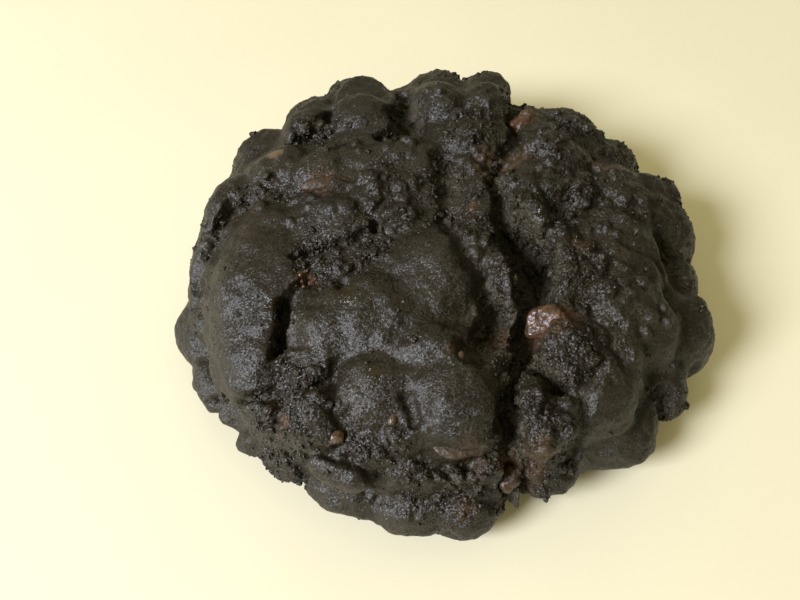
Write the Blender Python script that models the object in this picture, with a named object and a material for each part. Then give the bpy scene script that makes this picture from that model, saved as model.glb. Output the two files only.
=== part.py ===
"""A thick chocolate raspberry cookie, lumpy and split as it came from the oven."""

import math

import bmesh
import bpy
import numpy as np
from mathutils import Matrix, Vector
from mathutils.bvhtree import BVHTree

MM = 0.001

# Overall sizes in millimetres, with the origin under the middle of the base
HALF_LENGTH = 48.5
HALF_WIDTH = 48.5
HEIGHT = 29.5
RIM_HEIGHT = 12.0
DOME_POWER = 2.6
BASE_INSET = 0.90
BASE_CUT = 3.0

# Moves the middle of the finished cookie's box over the origin
CENTRING = (-1.06, 0.42)

# The dough between the lumps lies this far under their common dome
CORE_DROP = 1.7

# Flattens the lumps of the top, whose sizes are given as if round
LUMP_FLATNESS = 0.75

# Lumps of dough on the top: name, place of the crown, rise over the dome,
# half sizes along, across and through the lump, and its turn in degrees
LUMPS = (
    ("left lobe", -31.0, -10.0, 1.5, 10.6, 20.0, 11.5, -4.0),
    ("left lobe end", -32.0, -24.5, 0.8, 7.5, 8.5, 10.0, 0.0),
    ("left shoulder", -38.5, 11.0, 0.4, 7.0, 10.5, 10.0, -20.0),
    ("upper left shelf", -20.0, 0.5, 0.0, 11.5, 8.5, 8.0, 12.0),
    ("shelf knob", -27.5, 1.0, 0.9, 2.6, 3.6, 4.0, 0.0),
    ("upper left crest", -28.5, 17.0, 0.8, 7.0, 8.5, 9.0, -35.0),
    ("upper left band", -20.0, 13.5, 0.7, 7.0, 4.5, 6.0, 15.0),
    ("upper band", -6.0, 15.0, 0.2, 14.0, 4.8, 6.0, 2.0),
    ("upper middle", -8.0, 5.0, -0.3, 10.0, 7.5, 7.0, 0.0),
    ("middle knob", -5.5, -0.5, 0.6, 3.2, 3.0, 3.5, 0.0),
    ("centre", -1.0, -13.0, 1.2, 11.0, 12.0, 10.0, -12.0),
    ("broad front", -11.0, -19.5, 1.0, 15.0, 9.0, 9.0, 8.0),
    ("broad front nose", -19.0, -22.0, 1.2, 5.5, 5.0, 6.0, 20.0),
    ("lobe bridge", -23.5, -16.0, 0.3, 5.5, 9.5, 8.0, 0.0),
    ("crescent", -21.5, -27.0, 0.4, 4.6, 2.6, 4.0, -12.0),
    ("crescent foot", -21.5, -30.0, 0.0, 3.4, 2.4, 3.0, 0.0),
    ("knuckle", -11.8, -33.8, 1.7, 7.2, 7.6, 8.0, -20.0),
    ("front boss", 1.6, -36.8, 2.6, 8.4, 9.6, 9.5, 10.0),
    ("boss saddle", -5.0, -33.0, 1.3, 4.6, 5.5, 6.5, 0.0),
    ("boss neck", -1.0, -27.4, 1.3, 8.5, 6.0, 7.5, 0.0),
    ("front crumb", -7.0, -40.0, 0.6, 4.5, 4.0, 4.0, 0.0),
    ("lower left", -21.5, -36.3, 2.3, 7.4, 6.0, 7.5, 25.0),
    ("lower left knob", -31.0, -33.0, 0.4, 3.8, 4.2, 5.0, 30.0),
    ("lower left finger", -19.8, -43.8, 2.5, 6.8, 3.8, 5.5, -24.0),
    ("lower left bead", -13.5, -42.0, 0.6, 3.6, 3.8, 4.0, 0.0),
    ("middle ridge", 9.5, 8.0, -0.9, 3.0, 9.0, 7.0, 6.0),
    ("ridge crumb", 7.8, -8.0, -0.6, 2.8, 4.4, 5.0, 22.0),
    ("ridge blade", 11.4, -15.4, -0.9, 2.4, 4.8, 6.0, 24.0),
    ("island", 7.0, -30.0, 0.2, 3.0, 3.8, 4.0, 0.0),
    ("front island", 12.0, -35.5, 0.0, 3.8, 4.4, 5.0, 35.0),
    ("right crest", 17.8, -0.5, 1.2, 5.4, 7.4, 7.5, 0.0),
    ("upper right knob", 26.0, 12.5, 0.8, 7.6, 5.8, 7.0, -10.0),
    ("bright knob", 25.0, 2.5, 0.6, 5.2, 4.8, 6.0, 0.0),
    ("right middle", 24.5, -14.0, 0.4, 8.6, 8.8, 8.0, 0.0),
    ("right slope", 35.0, -13.0, 0.6, 9.0, 15.0, 10.0, -6.0),
    ("right arc", 33.0, -20.0, 1.0, 9.0, 8.5, 8.0, 0.0),
    ("granular mound", 19.0, -29.5, 0.9, 7.6, 6.6, 7.0, -15.0),
    ("right fold", 29.0, -27.0, 0.6, 5.0, 8.0, 7.0, 10.0),
    ("far right fold", 38.5, -24.0, 0.8, 6.0, 9.0, 8.0, 12.0),
    ("smooth lobe", 26.5, -37.0, 1.4, 9.5, 7.5, 9.0, 24.0),
    ("front right crumb", 14.5, -41.5, 0.8, 5.6, 4.6, 6.0, 10.0),
    ("right shoulder", 38.0, 5.0, 0.4, 8.0, 9.0, 9.0, 20.0),
    ("top boss left", 5.0, 32.0, 1.2, 7.8, 8.4, 8.0, 0.0),
    ("top boss right", 16.0, 31.0, 1.3, 6.2, 8.6, 8.0, -12.0),
    ("top inner", 9.5, 19.5, 0.4, 7.8, 6.4, 7.0, 0.0),
    ("top right slope", 28.0, 20.0, -0.8, 8.0, 5.0, 7.0, -28.0),
    ("back right crest", 34.0, 27.0, 0.6, 8.0, 5.5, 7.0, -42.0),
    ("top left knob", -11.5, 30.0, 1.0, 8.0, 6.6, 8.0, 8.0),
    ("top left crest", -23.0, 30.0, 1.0, 6.6, 6.4, 8.0, 30.0),
)

# Lumps round the rim: direction in degrees, reach, height of the middle,
# half sizes outwards, along the rim and upwards
RIM_LUMPS = (
    (2, 52.2, 11.0, 13.0, 10.0, 11.5),
    (11, 52.2, 11.5, 14.0, 7.5, 11.0),
    (26, 51.0, 11.5, 13.0, 7.5, 10.0),
    (43, 46.6, 10.5, 13.0, 7.5, 9.0),
    (67.5, 51.2, 13.5, 14.0, 7.2, 11.5),
    (82, 50.4, 13.0, 14.0, 10.5, 11.0),
    (106, 52.8, 13.0, 14.0, 9.0, 11.5),
    (119, 51.2, 12.5, 14.0, 9.5, 10.5),
    (138, 51.2, 11.5, 14.0, 11.0, 11.0),
    (156, 48.6, 11.0, 13.0, 11.0, 10.5),
    (173, 45.4, 10.0, 11.0, 7.0, 9.0),
    (191, 50.8, 6.5, 12.0, 12.0, 7.0),
    (206, 50.6, 6.5, 12.0, 10.0, 7.0),
    (219, 49.6, 7.5, 12.0, 10.0, 7.5),
    (233, 49.0, 7.0, 12.0, 10.5, 7.0),
    (247, 49.6, 7.0, 12.0, 11.5, 7.0),
    (262, 51.2, 7.0, 13.0, 12.0, 7.5),
    (272, 51.8, 7.0, 13.0, 9.5, 7.5),
    (281, 49.2, 6.5, 12.0, 6.5, 7.0),
    (291, 49.0, 7.5, 12.0, 9.0, 7.5),
    (310, 52.6, 8.0, 13.0, 9.5, 8.0),
    (321, 52.6, 8.5, 13.0, 10.0, 8.5),
    (335, 53.8, 10.0, 13.0, 10.0, 10.0),
    (349, 50.9, 11.0, 13.0, 10.0, 10.0),
)

# Splits and hollows: name, and the places that each runs through with its width
# and depth there
SPLITS = (
    ("main split",
     ((22, 38, 5.0, 2.0), (20.8, 29, 3.6, 2.6), (19.4, 21, 3.2, 2.8), (17.6, 15, 4.0, 2.6),
      (14.8, 10, 5.5, 2.2), (12.8, 5, 4.0, 2.6), (12.6, 0, 4.0, 3.6), (13.6, -4, 4.8, 5.6),
      (14.8, -8, 5.6, 7.8), (15.4, -11.5, 5.8, 8.8), (15.8, -15, 5.8, 9.2), (15.6, -19.5, 5.4, 9.0),
      (14.0, -23.5, 5.4, 8.0), (12, -28, 4.0, 7.0),
      (10.4, -33, 2.4, 6.0), (9.8, -36, 3.4, 7.0), (9.2, -40, 4.2, 6.5), (9, -43, 3.6, 4.0),
      (9.2, -46.5, 2.6, 3.0), (9, -50, 1.6, 2.6))),
    ("main split right", ((15.6, -3.5, 3.6, 4.5), (17.2, -6, 4.8, 7.4), (18.6, -11, 5.0, 9.0),
                          (18.6, -15, 4.8, 9.2), (17.0, -18.5, 4.0, 8.6))),
    ("split branch", ((12.5, -27, 3.4, 5.0), (15, -31, 3.4, 4.6), (18.5, -35.5, 2.6, 3.0))),
    ("inner valley", ((4, 14, 5.0, 2.2), (4.5, 7, 6.5, 2.8), (4.4, 0, 4.6, 2.4), (4.0, -6, 2.6, 1.6),
                      (5.8, -11, 3.0, 1.6), (8.0, -16, 3.8, 2.4), (10.0, -21.5, 5.0, 4.4),
                      (8.5, -25.5, 5.4, 4.6), (5, -28.5, 3.8, 2.6))),
    ("top hollow", ((-2, 38, 4.0, 2.4), (-1.5, 27, 7.0, 5.0), (-3, 22, 5.0, 4.0), (-8, 20.5, 2.4, 2.0))),
    ("upper left crevice", ((-16, 31, 1.6, 1.6), (-20, 26.5, 3.6, 3.6), (-25, 22.5, 2.0, 2.0))),
    ("left crevice", ((-31, 8.5, 2.0, 1.2), (-36, 7.5, 3.6, 3.0), (-41, 2, 3.0, 2.2),
                      (-44, -6, 2.4, 1.4), (-44.5, -15, 2.0, 1.0))),
    ("left slit", ((-21.4, -11.5, 1.2, 1.6), (-23.4, -15.5, 1.4, 2.4), (-25.0, -18.5, 2.0, 5.0),
                   (-26.6, -23, 1.8, 5.0), (-27.8, -25.5, 1.0, 1.6))),
    ("shelf edge", ((-24, -8, 1.2, 1.4), (-17, -5.5, 1.6, 2.0), (-9.5, -3, 2.4, 2.2), (-4, -2, 1.6, 1.4))),
    ("right hollow", ((42, -4, 3.4, 1.4), (43.2, -8.5, 6.4, 2.6), (44, -13.5, 3.4, 1.4))),
    ("right arc edge", ((33, -9.5, 2.0, 0.6), (37, -11, 2.8, 1.0), (39.5, -15, 2.8, 1.0),
                        (40, -20, 2.0, 0.6))),
    ("arc crease", ((23.5, -19.5, 3.0, 0.8), (26.5, -21, 3.6, 1.3), (28, -25, 3.8, 1.3),
                    (28.6, -31, 3.4, 0.9), (30, -34.5, 3.0, 0.5))),
    ("back right hollow", ((25, 35, 7.0, 0.9), (32, 31, 7.0, 0.4))),
    ("back notch", ((34, 13, 3.4, 0.8), (38, 16, 4.6, 1.2), (42, 19.5, 4.4, 1.2))),
    ("lobe foot", ((-42.5, -4, 2.4, 1.6), (-43, -14, 3.6, 2.0), (-41, -23, 3.6, 2.2),
                   (-36.5, -31, 3.4, 2.4), (-31, -30.5, 2.6, 2.6), (-26.5, -31, 2.2, 2.2))),
    ("skirt crease", ((-12.5, -45.5, 1.8, 1.2), (-8, -47.5, 2.8, 1.0), (-3, -46.4, 2.2, 1.3),
                      (5, -46.8, 2.4, 1.0))),
    ("front left crevice", ((-25, -39.5, 1.8, 1.0), (-20, -40.6, 2.0, 1.4), (-15, -42, 2.4, 1.6),
                            (-11, -45, 1.8, 1.2))),
    ("arc recess", ((-6, -42.0, 2.2, 0.8), (-2.0, -44.0, 3.0, 2.2), (2.5, -44.4, 3.4, 2.8),
                    (6.2, -42.6, 3.0, 2.8), (8.4, -40.0, 2.2, 2.2))),
    ("front right hole", ((11.6, -43.8, 2.4, 2.0), (12.4, -46.5, 3.4, 4.0), (12.6, -50, 3.0, 3.4))),
    ("front left step", ((-28, -31, 2.4, 1.8), (-24, -31.6, 2.4, 1.6), (-18.5, -31.0, 2.0, 1.6))),
    ("crescent fold", ((-25.4, -26.0, 1.4, 0.8), (-22.6, -26.4, 1.8, 1.5), (-20.0, -27.4, 1.6, 1.4),
                       (-18.6, -29.0, 1.2, 0.8))),
    ("knuckle crease", ((-17.6, -27, 1.4, 1.2), (-17.2, -32, 1.5, 1.5), (-16.4, -37, 1.2, 0.8))),
    ("boss crease", ((-5.2, -30, 1.4, 0.3), (-5.4, -34, 2.6, 0.7), (-6.2, -39, 2.0, 1.2))),
    ("right lower crease", ((24, -31, 2.0, 0.9), (21, -36, 2.8, 1.4), (19, -42, 2.4, 1.2))),
    ("rim crease", ((34, -33, 1.2, 1.0), (37, -35.5, 1.6, 1.2), (39, -36.5, 1.0, 0.6))),
)

# Pits: name, place, half width and depth
PITS = (
    ("pit beside the knobs", -9.0, -2.5, 1.6, 3.4),
    ("pit under the shelf", -15.0, -14.5, 1.4, 1.6),
    ("seed hollow", 3.5, -29.0, 2.6, 2.6),
    ("hole at the slit", -21.2, -12.6, 1.1, 3.0),
    ("rim hole", 37.5, -34.0, 2.2, 3.0),
    ("small rim hole", 44.5, -28.0, 1.4, 1.6),
)

# Rubble of broken dough: place of each patch, its half sizes across and along,
# how many pieces, and their smallest and largest half size
RUBBLE = (
    (9.5, 13.0, 2.6, 8.0, 14, 0.9, 1.7),
    (7.8, -7.5, 2.0, 4.0, 10, 0.9, 1.7),
    (11.2, -15.0, 1.6, 4.6, 12, 0.8, 1.6),
    (15.5, -8.0, 2.4, 9.0, 12, 0.6, 1.1),
    (14.0, -20.0, 3.4, 5.0, 8, 0.6, 1.1),
    (17.5, 1.0, 4.0, 6.5, 10, 1.0, 2.4),
    (15.5, 10.5, 3.0, 3.0, 9, 0.9, 2.0),
    (19.0, -5.5, 3.0, 4.0, 8, 1.0, 2.0),
    (21.4, -12.0, 1.6, 8.0, 16, 0.9, 1.8),
    (26.0, 12.0, 8.0, 7.5, 26, 1.0, 2.6),
    (25.0, 3.5, 6.0, 4.5, 16, 1.0, 2.4),
    (31.5, 4.0, 5.0, 6.0, 14, 0.8, 1.8),
    (26.0, -9.0, 8.0, 6.0, 24, 0.9, 2.2),
    (27.0, -16.5, 8.0, 5.0, 18, 0.9, 2.2),
    (36.0, -4.0, 5.0, 8.0, 12, 0.9, 1.8),
    (33.0, 20.0, 7.0, 5.0, 14, 0.9, 2.2),
    (24.0, 24.0, 5.0, 5.0, 9, 0.9, 2.0),
    (19.0, -30.0, 5.5, 5.0, 7, 0.9, 1.8),
    (8.0, -30.5, 2.6, 4.0, 8, 0.8, 1.6),
    (14.5, -36.0, 4.5, 2.6, 10, 0.8, 1.7),
    (15.0, -42.0, 5.5, 3.5, 14, 0.8, 1.7),
    (14.0, -46.5, 4.0, 2.5, 7, 0.8, 1.5),
    (37.0, -27.0, 4.0, 6.0, 9, 0.9, 2.0),
    (8.5, 26.0, 6.0, 5.0, 12, 0.9, 2.0),
    (-2.0, 25.5, 6.0, 6.0, 10, 0.8, 1.6),
    (-20.0, 26.0, 7.0, 4.0, 12, 0.8, 1.8),
    (-11.0, 18.0, 11.0, 3.0, 12, 0.9, 2.0),
    (-10.0, 6.0, 9.0, 5.0, 16, 0.9, 2.2),
    (-21.0, 2.0, 6.0, 5.0, 10, 0.9, 2.0),
    (-30.0, 9.0, 5.0, 4.0, 9, 0.8, 1.6),
    (-13.0, -8.0, 8.0, 3.5, 16, 0.8, 1.6),
    (-4.0, -2.5, 4.0, 3.5, 8, 0.8, 1.8),
    (-21.5, -35.5, 5.5, 4.0, 10, 0.8, 1.6),
    (-28.0, -35.5, 4.0, 3.0, 8, 0.8, 1.6),
    (-14.0, -40.5, 6.0, 2.5, 12, 0.8, 1.6),
    (-2.0, -45.5, 7.0, 3.0, 14, 0.8, 1.8),
    (-42.0, 3.0, 2.5, 4.0, 6, 0.8, 1.5),
)

# Rubble stays this close to the middle
RUBBLE_REACH = 45.0

# Pieces of chocolate and raspberry that show: node, place, how far the middle lies
# under the skin, half sizes, and turns about the upright, sideways and forwards
CHUNKS = (
    ("raspberry_middle", 17.4, -23.0, 1.2, 3.8, 2.7, 2.0, -12, -30, 30),
    ("chip_upper_left", -17.9, 8.9, 0.5, 4.6, 1.4, 1.3, 4, 0, 10),
    ("raspberry_top", 21.0, 24.0, 1.0, 2.4, 2.2, 1.8, 20, -20, 0),
    ("chip_ridge", 18.6, 10.8, 0.5, 3.2, 1.0, 1.3, 25, -15, 20),
    ("chip_front", 0.6, -38.8, 4.4, 4.6, 4.8, 0.42, 8, -4, 14),
    ("chip_front_right", 13.4, -42.8, 0.9, 2.0, 1.1, 1.3, -25, -15, 30),
    ("raspberry_front", 9.0, -43.4, -1.3, 1.7, 2.3, 2.7, 0, 0, 20),
)

# Raspberry seeds on the skin: place, half length, half width and turn
SEEDS = (
    (-17.4, -39.0, 1.2, 1.1, 0),
    (-8.6, -37.6, 1.1, 0.7, 60),
    (2.4, -29.8, 1.1, 0.6, 80),
)

DOUGH_COLOUR = (0.017, 0.0125, 0.0065, 1.0)
CHIP_COLOUR = (0.050, 0.030, 0.014, 1.0)
RASPBERRY_COLOUR = (0.072, 0.033, 0.014, 1.0)

# Turns the noise off the axes, so that its lattice never lines up with the cookie
NOISE_TURN = np.array(Matrix.Rotation(0.9, 3, (0.3, 0.5, 0.8)))

# Size and amount of each kind of unevenness: of the lumps as a whole, of the
# splits' paths, and of the dough's skin
LUMP_SWAY = (11.0, 1.1)
SPLIT_SWAYS = ((7.0, 1.3), (2.6, 0.6))
SKIN_GRAINS = ((4.2, 0.45), (2.0, 0.25))
CHUNK_GRAIN = (0.9, 0.22)

# A split reaches its full depth within its width and runs out at this many times it
SPLIT_EDGE = 1.3
SPLIT_SLOPE = 0.9

# Height above which splits cut straight down, and over how much more they turn
UPRIGHT_CUTS = 18.0
UPRIGHT_BLEND = 6.0

# How fast the cuts turn from level at the rim to upright on top
LEAN = 1.4

CORE_STEPS = 24
CORE_SIDES = 72
BELLY_HEIGHT = 0.35 * RIM_HEIGHT

# Creases between lumps are filled out to about this width
CREASE_FILL = 1.15

GAP = 0.3
VOXEL = 0.8
DOUGH_TRIANGLES = 9400
CHUNK_BLOCKINESS = 0.85
SEED = 11


def clear_scene():
    for thing in list(bpy.data.objects):
        bpy.data.objects.remove(thing, do_unlink=True)


def material(name, colour, roughness):
    made = bpy.data.materials.new(name)
    made.use_nodes = True
    shader = made.node_tree.nodes["Principled BSDF"]
    shader.inputs["Base Color"].default_value = colour
    shader.inputs["Roughness"].default_value = roughness
    shader.inputs["Metallic"].default_value = 0.0
    return made


def add_object(name, mesh, surface=None):
    thing = bpy.data.objects.new(name, mesh)
    bpy.context.scene.collection.objects.link(thing)
    if surface is not None:
        mesh.materials.clear()
        mesh.materials.append(surface)
    return thing


def settle(thing):
    """Turn the object's modifiers into its mesh."""
    bpy.context.view_layer.update()
    graph = bpy.context.evaluated_depsgraph_get()
    settled = bpy.data.meshes.new_from_object(thing.evaluated_get(graph))
    thing.modifiers.clear()
    before = thing.data
    thing.data = settled
    bpy.data.meshes.remove(before)


def points_of(mesh):
    flat = np.empty(len(mesh.vertices) * 3)
    mesh.vertices.foreach_get("co", flat)
    return flat.reshape(-1, 3) / MM


def normals_of(mesh):
    flat = np.empty(len(mesh.vertices) * 3)
    mesh.vertex_normals.foreach_get("vector", flat)
    return flat.reshape(-1, 3)


def move_points(mesh, points):
    mesh.vertices.foreach_set("co", (points * MM).ravel())
    mesh.update()


def fade(t):
    t = np.clip(t, 0.0, 1.0)
    return t * t * (3.0 - 2.0 * t)


def noise(points, size, seed):
    """Smooth noise from about -1 to 1, with bumps of about the given size."""
    place = points @ NOISE_TURN / size + seed * 17.31
    cell = np.floor(place).astype(np.int64)
    part = place - cell
    curve = part ** 3 * (part * (part * 6.0 - 15.0) + 10.0)
    total = np.zeros(len(points))
    for corner in np.ndindex(2, 2, 2):
        key = (cell + corner) @ np.array((374761393, 668265263, 2147483647)) + seed * 144269
        key = (key ^ (key >> 13)) * 1274126177 & 0xFFFFFFFF
        key = (key ^ (key >> 16)) & 0xFFFFFFFF
        turn = key / 0xFFFFFFFF * 2.0 * np.pi
        rise = ((key * 48271) & 0xFFFF) / 0x8000 - 1.0
        flat = np.sqrt(1.0 - np.minimum(rise * rise, 1.0))
        away = part - corner
        slope = away[:, 0] * flat * np.cos(turn) + away[:, 1] * flat * np.sin(turn) + away[:, 2] * rise
        weight = np.prod(np.where(corner, curve, 1.0 - curve), axis=1)
        total += weight * slope
    return total * 1.6


def dome(x, y):
    """Height of the smooth dome that the lumps follow."""
    reach = np.minimum(np.hypot(x / HALF_LENGTH, y / HALF_WIDTH), 1.0)
    return RIM_HEIGHT + (HEIGHT - RIM_HEIGHT) * (1.0 - reach ** DOME_POWER) ** (1.0 / DOME_POWER)


def dome_normal(x, y):
    step = 1.5
    slope_x = (dome(x + step, y) - dome(x - step, y)) / (2.0 * step)
    slope_y = (dome(x, y + step) - dome(x, y - step)) / (2.0 * step)
    return Vector((-slope_x, -slope_y, 1.0)).normalized()


def add_lump(bm, middle, turn, sizes, subdivisions=4):
    """A rounded lump with its half sizes along the columns of a turn."""
    scale = Matrix.Diagonal((*sizes, 1.0))
    matrix = Matrix.Translation(middle) @ turn.to_4x4() @ scale
    bmesh.ops.create_icosphere(bm, subdivisions=subdivisions, radius=1.0, matrix=matrix)


def add_top_lumps(bm):
    for _, x, y, rise, along, across, through, angle in LUMPS:
        up = dome_normal(x, y)
        crown = Vector((x, y, float(dome(x, y)) + rise))
        side = Matrix.Rotation(math.radians(angle), 3, "Z") @ Vector((1.0, 0.0, 0.0))
        side = (side - up * side.dot(up)).normalized()
        turn = Matrix((side, up.cross(side), up)).transposed()
        deep = through * LUMP_FLATNESS
        add_lump(bm, crown - up * deep, turn, (along, across, deep))


def add_rim_lumps(bm):
    for angle, reach, height, outward, along, upward in RIM_LUMPS:
        turn = Matrix.Rotation(math.radians(angle), 3, "Z")
        middle = turn @ Vector((reach - outward, 0.0, height))
        add_lump(bm, middle, turn, (outward, along, upward))


def add_core(bm):
    """The domed dough under the lumps, as a turned profile."""
    profile = []
    for i in range(CORE_STEPS + 1):
        reach = math.sin(0.5 * math.pi * i / CORE_STEPS)
        height = RIM_HEIGHT + (HEIGHT - RIM_HEIGHT) * (1.0 - reach ** DOME_POWER) ** (1.0 / DOME_POWER)
        profile.append((reach, height - CORE_DROP))
    profile.append((1.0, BELLY_HEIGHT))
    profile.append((BASE_INSET, -BASE_CUT))
    rings = []
    for reach, height in profile[1:]:
        ring = []
        for k in range(CORE_SIDES):
            angle = 2.0 * math.pi * k / CORE_SIDES
            x = (HALF_LENGTH - CORE_DROP) * reach * math.cos(angle)
            y = (HALF_WIDTH - CORE_DROP) * reach * math.sin(angle)
            ring.append(bm.verts.new((x, y, height)))
        rings.append(ring)
    crown = bm.verts.new((0.0, 0.0, profile[0][1]))
    for k in range(CORE_SIDES):
        after = (k + 1) % CORE_SIDES
        bm.faces.new((crown, rings[0][k], rings[0][after]))
        for lower, upper in zip(rings[1:], rings):
            bm.faces.new((upper[k], lower[k], lower[after], upper[after]))
    bm.faces.new(tuple(reversed(rings[-1])))


def fuse(thing, voxel, soften):
    """Fuse overlapping shapes into one skin and round it a little."""
    remesh = thing.modifiers.new("Fuse", "REMESH")
    remesh.mode = "VOXEL"
    remesh.voxel_size = voxel * MM
    if soften:
        smooth = thing.modifiers.new("Soften", "SMOOTH")
        smooth.factor = 0.5
        smooth.iterations = soften
    settle(thing)


def outward(points):
    """Directions that point out of the cookie, flat at the rim and upright on top."""
    lean = np.empty_like(points)
    lean[:, 0] = points[:, 0] / HALF_LENGTH ** 2
    lean[:, 1] = points[:, 1] / HALF_WIDTH ** 2
    lean[:, 2] = LEAN * np.maximum(points[:, 2] - 0.5 * RIM_HEIGHT, 0.0) / HEIGHT ** 2
    return lean / np.linalg.norm(lean, axis=1)[:, None]


def cut_along(flat_points, path):
    """How deep a split cuts at points in plan, deepest along its path."""
    depth = np.zeros(len(flat_points))
    for start, end in zip(path, path[1:]):
        run = np.subtract(end, start)
        t = np.clip((flat_points - start[:2]) @ run[:2] / (run[:2] @ run[:2]), 0.0, 1.0)
        gap = np.linalg.norm(flat_points - start[:2] - t[:, None] * run[:2], axis=1)
        across = 2.0 * gap / (start[2] + t * run[2])
        deep = start[3] + t * run[3]
        depth = np.maximum(depth, deep * fade((SPLIT_EDGE - across) / SPLIT_SLOPE))
    return depth


def fill_creases(mesh, rounds):
    """Fill the creases between lumps bit by bit, and leave the crowns as they are."""
    points = points_of(mesh)
    ends = np.empty(len(mesh.edges) * 2, dtype=np.int32)
    mesh.edges.foreach_get("vertices", ends)
    ends = np.concatenate([ends.reshape(-1, 2), ends.reshape(-1, 2)[:, ::-1]])
    here, there = ends.T
    neighbours = np.bincount(here, minlength=len(points))
    for _ in range(rounds):
        around = [np.bincount(here, points[there, axis], len(points)) for axis in range(3)]
        shift = np.stack(around, axis=1) / neighbours[:, None] - points
        way = outward(points)
        rise = np.maximum(np.sum(shift * way, axis=1), 0.0)
        points += rise[:, None] * way
    move_points(mesh, points)


def wobble(points, size, amount, seed):
    """Shift points by smooth noise, so that regular shapes turn uneven."""
    shift = [noise(points, size, seed + k) for k in range(3)]
    return points + amount * np.stack(shift, axis=1)


def split_depth(points):
    """How deep the splits and pits cut at each point."""
    wavy = points
    for k, (size, amount) in enumerate(SPLIT_SWAYS):
        wavy = wobble(wavy, size, amount, SEED + 20 + 10 * k)
    flat = wavy[:, :2]
    depth = np.zeros(len(points))
    for _, path in SPLITS:
        depth = np.maximum(depth, cut_along(flat, path))
    for _, x, y, half_width, deep in PITS:
        across = np.hypot(flat[:, 0] - x, flat[:, 1] - y) / half_width
        depth = np.maximum(depth, deep * fade((SPLIT_EDGE - across) / SPLIT_SLOPE))
    return depth


def cut_splits(mesh):
    """Open the splits and pits, straight down on top and inwards at the rim."""
    points = points_of(mesh)
    above_base = fade((points[:, 2] + BASE_CUT) / (2.0 * BASE_CUT))
    depth = split_depth(points) * above_base
    way = outward(points)
    way[:, :2] *= 1.0 - fade((points[:, 2] - UPRIGHT_CUTS) / UPRIGHT_BLEND)[:, None]
    way /= np.linalg.norm(way, axis=1)[:, None]
    move_points(mesh, points - depth[:, None] * way)


def skin_height(tree, x, y):
    """Height of the skin straight under a point in plan, in millimetres."""
    hit = tree.ray_cast(Vector((x, y, 2.0 * HEIGHT)) * MM, Vector((0.0, 0.0, -1.0)))
    return hit[0].z / MM


def uneven_lump(bm, rng, middle, size):
    """A small uneven lump, stretched and turned at random."""
    turn = Matrix.Rotation(rng.uniform(0.0, math.pi), 3, rng.normal(size=3))
    start = len(bm.verts)
    add_lump(bm, middle, turn, size * rng.uniform(0.75, 1.25, size=3), 2)
    bm.verts.ensure_lookup_table()
    for vert in bm.verts[start:]:
        vert.co = middle + (vert.co - middle) * rng.uniform(0.84, 1.12)


def add_rubble(dough):
    """Scatter broken lumps on the skin, partly sunk, in the patches that show them."""
    rng = np.random.default_rng(SEED)
    tree = BVHTree.FromObject(dough, bpy.context.evaluated_depsgraph_get())
    bm = bmesh.new()
    for x, y, across, along, count, smallest, largest in RUBBLE:
        for _ in range(count):
            angle = rng.uniform(0.0, 2.0 * math.pi)
            reach = math.sqrt(rng.uniform())
            size = smallest + (largest - smallest) * rng.uniform() ** 1.5
            place = (x + across * reach * math.cos(angle), y + along * reach * math.sin(angle))
            if math.hypot(*place) > RUBBLE_REACH:
                continue
            sink = rng.uniform(0.1, 0.65) * size
            seat = Vector((*place, skin_height(tree, *place)))
            uneven_lump(bm, rng, seat - dome_normal(*place) * sink, size)
    bmesh.ops.scale(bm, vec=(MM, MM, MM), verts=bm.verts)
    bm.from_mesh(dough.data)
    bm.to_mesh(dough.data)
    bm.free()


def roughen(mesh):
    points = points_of(mesh)
    grain = np.zeros(len(points))
    for k, (size, amount) in enumerate(SKIN_GRAINS):
        grain += amount * noise(points, size, SEED + 1 + k)
    move_points(mesh, points + grain[:, None] * normals_of(mesh))


def keep_largest(bm):
    """Drop every scrap but the largest connected skin."""
    left = set(bm.verts)
    largest = []
    while left:
        start = left.pop()
        island = [start]
        queue = [start]
        while queue:
            for edge in queue.pop().link_edges:
                for vert in edge.verts:
                    if vert in left:
                        left.remove(vert)
                        island.append(vert)
                        queue.append(vert)
        if len(island) > len(largest):
            largest = island
    scraps = set(bm.verts) - set(largest)
    bmesh.ops.delete(bm, geom=list(scraps), context="VERTS")


def flatten_base(mesh):
    """Cut the underside flat at the height of the table."""
    bm = bmesh.new()
    bm.from_mesh(mesh)
    everything = bm.verts[:] + bm.edges[:] + bm.faces[:]
    bmesh.ops.bisect_plane(bm, geom=everything, dist=1e-6, plane_co=(0, 0, 0),
                           plane_no=(0, 0, -1), clear_outer=True)
    keep_largest(bm)
    open_edges = [edge for edge in bm.edges if edge.is_boundary]
    bmesh.ops.holes_fill(bm, edges=open_edges, sides=0)
    bmesh.ops.triangulate(bm, faces=[f for f in bm.faces if len(f.verts) > 3])
    bmesh.ops.recalc_face_normals(bm, faces=bm.faces)
    bm.to_mesh(mesh)
    bm.free()


def make_dough():
    bm = bmesh.new()
    add_core(bm)
    add_top_lumps(bm)
    add_rim_lumps(bm)
    mesh = bpy.data.meshes.new("cookie")
    bmesh.ops.scale(bm, vec=(MM, MM, MM), verts=bm.verts)
    bm.to_mesh(mesh)
    bm.free()
    dough = add_object("cookie", mesh)
    fuse(dough, VOXEL, 2)
    fill_creases(dough.data, round((CREASE_FILL / VOXEL) ** 2))
    points = points_of(dough.data)
    move_points(dough.data, wobble(points, *LUMP_SWAY, SEED))
    cut_splits(dough.data)
    add_rubble(dough)
    fuse(dough, VOXEL, 1)
    roughen(dough.data)
    decimate = dough.modifiers.new("Fewer faces", "DECIMATE")
    decimate.ratio = DOUGH_TRIANGLES / (2.0 * len(dough.data.polygons))
    settle(dough)
    flatten_base(dough.data)
    return dough


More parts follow.
